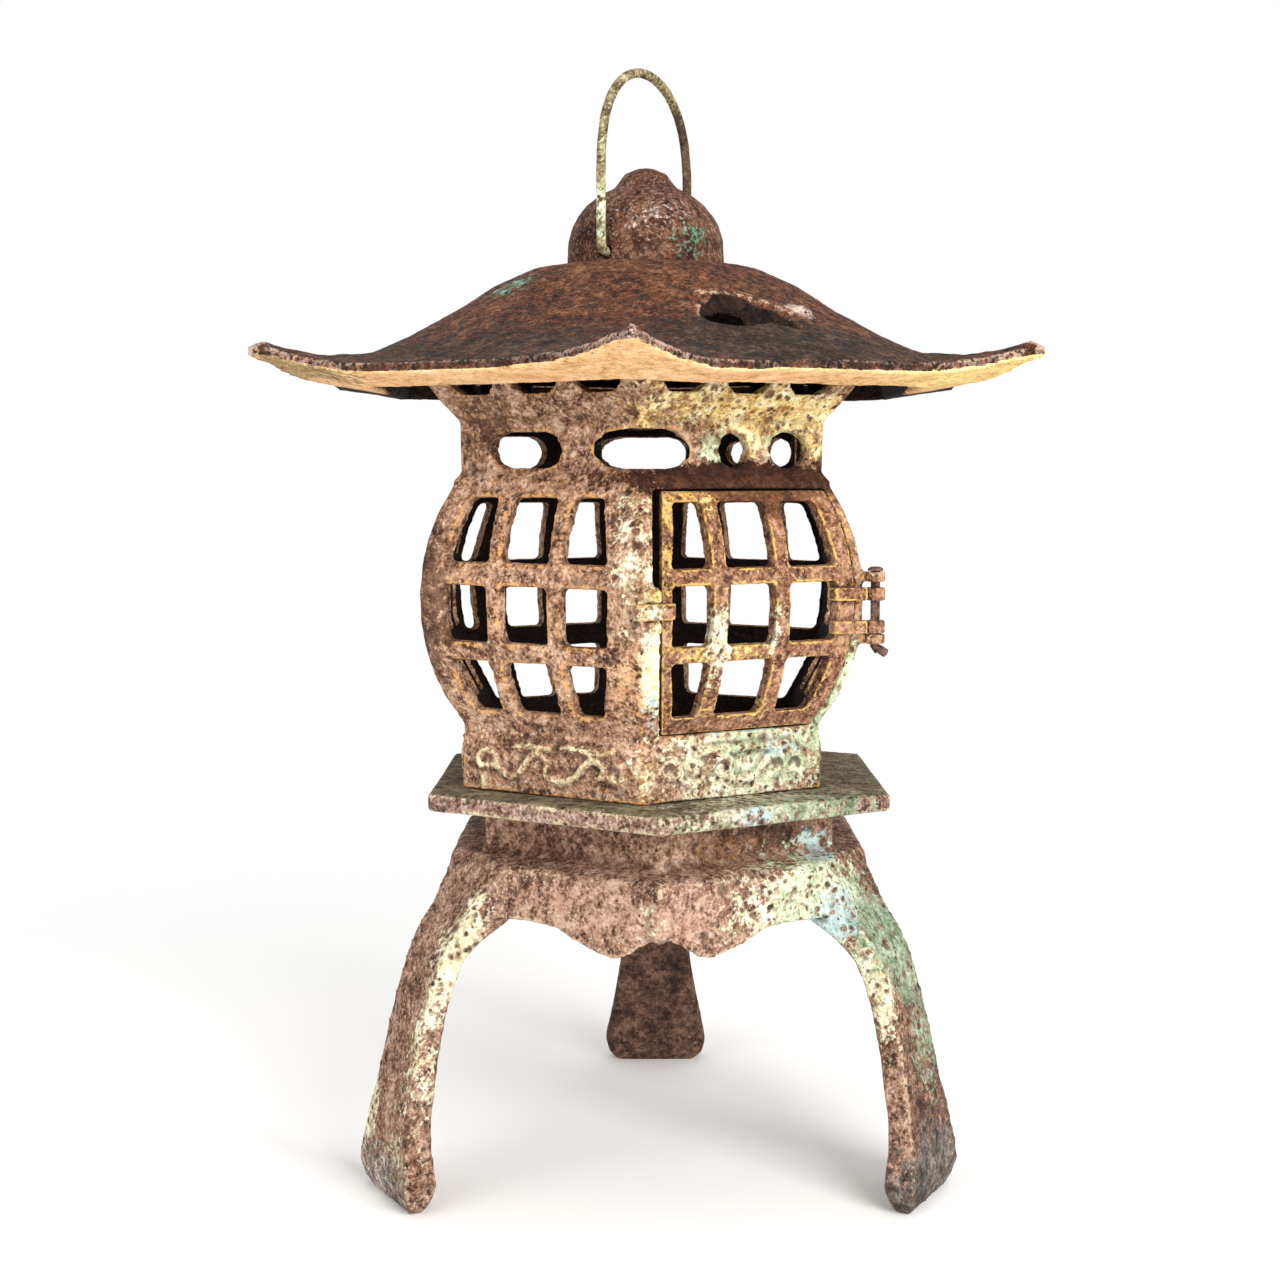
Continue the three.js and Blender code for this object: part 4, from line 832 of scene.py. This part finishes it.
roof_iron = weathered_iron(
    "rusted_cast_iron_roof",
    ["#200f08", "#3e1f10", "#552f1c", "#6a3f29", "#875b42"],
    coats=[
        {"colours": ["#150f0b", "#281a12", "#3c2a1e", "#584636"], "zones": [
            ((0, 0, 251), (160, 160, 18), 0.95),
            (at(30, 86, -6, 260), (40, 40, 12), 0.4),
        ], "thick": False},
        {"colours": ["#8f7467", "#b39a8c", "#cdb8ab"], "zones": [
            (at(face, BROW_RADIUS, side, BROW_HEIGHT + 1), (7, 7, 6), 0.9) for face, side in BROWS
        ], "thick": False},
        {"colours": ["#4f7a64", "#6d9a80", "#8fb398"], "zones": [
            ((-42, -31, 276), (12, 12, 8), 0.5),
        ]},
        # Painted shade: the hollow inside the roof and the underside at its back are coloured near black.
        {"colours": ["#120a07", "#20130e", "#35231a"], "mask": under_roof, "reach": 0.8, "thick": False},
        # Painted light: the soffit is coloured a bright tan for the light that the pale floor throws up
        # under the eaves, kept free of dark marks.
        {"colours": ["#d29c64", "#f0ba82", "#fbca95", "#ffd9ac"], "mask": under_eaves, "reach": 0.4,
         "thick": False, "no_dark_marks": True},
        # Painted light over that: a brighter yellow patch by the right-front tip. After it comes a duller,
        # greyer patch by the left-front tip.
        {"colours": ["#e0b56a", "#fbd98c", "#ffe9a8"],
         "mask": lambda tree, place: soffit_patch(tree, place, 60, 60), "thick": False},
        {"colours": ["#77603e", "#a88a5c", "#cdb083"],
         "mask": lambda tree, place: soffit_patch(tree, place, -60, 40), "thick": False},
    ],
    specks=("#8c6850", 0.42),
    pit_colour="#150c08",
    worn=("#b79a88", 0.9),
    relief=1.3,
)
finish(roof, roof_iron)

# %% Dome
dome_iron = weathered_iron(
    "rusted_cast_iron_dome",
    ["#241109", "#412519", "#563424", "#6b4735", "#82604d"],
    coats=[
        {"colours": ["#a78d82", "#c4aca1", "#d8c5bb"], "zones": [
            (at(8, 22, 0, 297), (18, 12, 10), 0.32),
        ]},
        {"colours": ["#2f6b57", "#4f8c72", "#79aa90"], "zones": [
            (at(34, 22, 0, 290), (9, 9, 9), 0.45),
        ]},
    ],
    specks=("#b49b8f", 0.5),
    pit_colour="#2a1a14",
)
finish(finial, dome_iron)

# %% [markdown]
# ## The bail
# The bail is a drawn steel wire, bent by hand into a loop with its ends turned in through the
# dome. A bezier curve with a round section follows the same line as the CAD wire.

# %% The bail wire
PIVOT_Z = 286.4
BAIL_AZIMUTH = -30
BAIL_TOP = 57.0
WIRE = 1.6


def on_bail(across, rise):
    return at(BAIL_AZIMUTH, across, 0, PIVOT_Z + rise)


half = [
    (17.5, 0), (23.6, 0), (26.2, 1.0), (27.0, 3.6), (27.0, 14), (27.1, 24), (26.4, 33.4), (23.2, 43.6),
    (16.4, 51.6), (8.2, 55.8),
]
rising = [on_bail(x, z) for x, z in half]
falling = [on_bail(-x, z) for x, z in reversed(half)]
loop = rising + [on_bail(0, BAIL_TOP)] + falling
bail = ridge("bail_wire", loop, WIRE)
finished(bail, "SUBSURF", levels=1, render_levels=1)
disturbed(bail, SCALE_PITS, 0.3)
shade_smooth(bail)
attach(bail, "bail")
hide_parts("bail")
bail_steel = weathered_iron(
    "weathered_steel_wire",
    ["#3a2d20", "#5e5038", "#7d6f4f", "#978a63", "#b3a884"],
    coats=[
        {"colours": GREEN, "zones": [
            (on_bail(27, 12), (8, 8, 14), 0.6),
            (on_bail(25, 34), (7, 7, 12), 0.35),
        ]},
        {"colours": ["#34241b", "#523c2f", "#705643"], "zones": [
            (on_bail(-24, 30), (18, 18, 34), 0.8),
        ], "thick": False},
    ],
    specks=("#cfc59c", 0.6),
    relief=0.4,
)
finish(bail, bail_steel)

# %% [markdown]
# ## Hinge eyes
# Each eye is a small ring cast onto an arm. A cylinder gets its bore by an inset and a bridge, and
# an arm runs from it into the casting. The door's two eyes lie between the cage's two on the pin.

# %% Eyes round the pin
EYE_RADIUS = 2.9
EYE_WALL = 1.0
ARM_WIDTH = 3.4
ARM_END = 2.2
CAGE_EYE_HEIGHT = 2.9
DOOR_EYE_HEIGHT = 3.8
LOWEST_EYE = 168.7
CAGE_EYES = (LOWEST_EYE, LOWEST_EYE + 18.6)
DOOR_EYES = (LOWEST_EYE + 3.2, LOWEST_EYE + 13.0)
CAGE_ROOT = at(PIN_AZIMUTH, 73.0, 0, 0, CAGE_ASIDE)
DOOR_ROOT = at(30, 65.4, 32.4, 0, CAGE_ASIDE)


def arm(start, end, bottom, height):
    """A bar between two plan points, in mm."""
    middle = (start + end) / 2
    run = end - start
    bpy.ops.mesh.primitive_cube_add(
        size=1, location=(middle.x * MM, middle.y * MM, (bottom + height / 2) * MM),
        rotation=(0, 0, math.atan2(run.y, run.x)),
        scale=(run.length * MM, ARM_WIDTH * MM, height * MM),
    )
    bar = bpy.context.object
    bar.name = "eye_arm"
    finished(bar, "BEVEL", width=0.9 * MM, segments=3)
    return settled(bar)


def eye(name, bottom, height, root):
    """A ring round the pin, with an arm to its root in the casting, in mm."""
    bar = arm(root, PIN + (root - PIN).normalized() * ARM_END, bottom, height)
    bpy.ops.mesh.primitive_cylinder_add(
        vertices=28, radius=EYE_RADIUS * MM, depth=height * MM, end_fill_type="NGON",
        location=(PIN.x * MM, PIN.y * MM, (bottom + height / 2) * MM),
    )
    ring = bpy.context.object
    ring.name = name
    bpy.ops.object.mode_set(mode="EDIT")
    bpy.ops.mesh.select_mode(type="FACE")
    mesh = bmesh.from_edit_mesh(ring.data)
    for face in mesh.faces:
        face.select_set(abs(face.normal.z) > 0.9)
    bmesh.update_edit_mesh(ring.data)
    bpy.ops.mesh.inset(thickness=EYE_WALL * MM)
    bpy.ops.mesh.bridge_edge_loops()
    bpy.ops.object.mode_set(mode="OBJECT")
    finished(ring, "BEVEL", width=0.5 * MM, segments=3, limit_method="ANGLE", angle_limit=math.radians(40))
    settled(ring)
    return joined(ring, bar)


eyes = []
for number, bottom in enumerate(CAGE_EYES, start=1):
    ring = eye(f"cage_eye_{number}", bottom, CAGE_EYE_HEIGHT, CAGE_ROOT)
    eyes.append((ring, "root", "cage_iron", cage_iron))
for number, bottom in enumerate(DOOR_EYES, start=1):
    ring = eye(f"door_eye_{number}", bottom, DOOR_EYE_HEIGHT, DOOR_ROOT)
    eyes.append((ring, "door", "door_iron", door_iron))
for piece, body, name, iron in eyes:
    finish(piece, iron)
    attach(piece, body)

# %% [markdown]
# ## Fasteners and cup
# Nuts, bolts, screws, the pin and the candle cup are plain steel that has rusted dark. Their CAD
# shapes are right and stay, with a finish of their own.

# %% Dark fasteners
fastener_steel = weathered_iron(
    "rusted_steel_fasteners", ["#241812", "#443026", "#5f463a", "#78594a"],
    specks=("#a08572", 0.4), relief=0.5,
)
for name, node in nodes.items():
    if not node.hide_render:
        finish(node, fastener_steel)

# %% [markdown]
# ## Floor, light and camera
# A pale floor and a white surround show the lantern as in a studio. One broad lamp from the
# front right, a weaker one from the left and a faint one from above light it softly, at a level at
# which a colour renders about as it is written. The camera stands where the photographer stood.

# %% Backdrop helper
def seen_by_eye(tree):
    """1 for rays from the camera, and for those that show the surround in gloss or glass."""
    path = add(tree, "LightPath")
    seen = path.outputs["Is Camera Ray"]
    for ray in ("Is Glossy Ray", "Is Transmission Ray"):
        seen = either(tree, seen, path.outputs[ray])
    return seen


# %% Floor
FADE_START = 0.14
FADE_END = 0.5

bpy.ops.mesh.primitive_plane_add(size=6, location=(0, 0, 0))
floor = bpy.context.object
floor.name = "floor"
paper = bpy.data.materials.new("pale_paper_floor")
paper.use_nodes = True
tree = paper.node_tree
surface = tree.nodes["Principled BSDF"]
surface.inputs["Base Color"].default_value = hex_colour("#fbfaf8")
surface.inputs["Roughness"].default_value = 0.9
middle = add(tree, "TexCoord").outputs["Object"]
away = add(tree, "VectorMath", {0: middle}, operation="LENGTH")
faded = add(tree, "MapRange", {
    "Value": away, "From Min": FADE_START, "From Max": FADE_END,
}, interpolation_type="SMOOTHSTEP")
white = both(tree, faded, seen_by_eye(tree))
glow = add(tree, "Emission", {"Color": (1, 1, 1, 1), "Strength": 1.0})
blend = add(tree, "MixShader", {0: white, 1: surface, 2: glow})
tree.links.new(blend.outputs[0], tree.nodes["Material Output"].inputs["Surface"])
floor.data.materials.append(paper)

# %% World and lamps
AMBIENT = 0.6
world = bpy.data.worlds.new("studio")
world.use_nodes = True
bpy.context.scene.world = world
tree = world.node_tree
background = tree.nodes["Background"]
background.inputs["Color"].default_value = (1, 1, 1, 1)
strength = add(tree, "MapRange", {"Value": seen_by_eye(tree), "To Min": AMBIENT, "To Max": 1.0})
tree.links.new(strength.outputs[0], background.inputs["Strength"])


LIT_POINT = Vector((0, 0, 0.18))


def lamp(name, place, size, power):
    """A square lamp that points at the lantern; its place and size are in metres."""
    bpy.ops.object.light_add(type="AREA", location=place)
    light = bpy.context.object
    light.name = name
    light.data.size = size
    light.data.energy = power
    aim = LIT_POINT - Vector(place)
    light.rotation_euler = aim.to_track_quat("-Z", "Y").to_euler()


lamp("key", (0.7, -1.1, 0.65), size=0.8, power=22)
lamp("fill", (-1.0, -1.0, 0.4), size=1.0, power=10)
lamp("top", (0.0, 0.1, 1.6), size=1.0, power=7)

# %% Camera
CAMERA_PLACE = (-1.8, -597.73, 219.67)
CAMERA_TILT = 84.885
FOCAL_LENGTH = 52.63

bpy.ops.object.camera_add(
    location=[length * MM for length in CAMERA_PLACE], rotation=(math.radians(CAMERA_TILT), 0, 0),
)
camera = bpy.context.object
camera.data.lens = FOCAL_LENGTH
camera.data.sensor_width = 36
camera.data.clip_start = 0.01
bpy.context.scene.camera = camera
bpy.context.scene.view_settings.view_transform = "Standard"
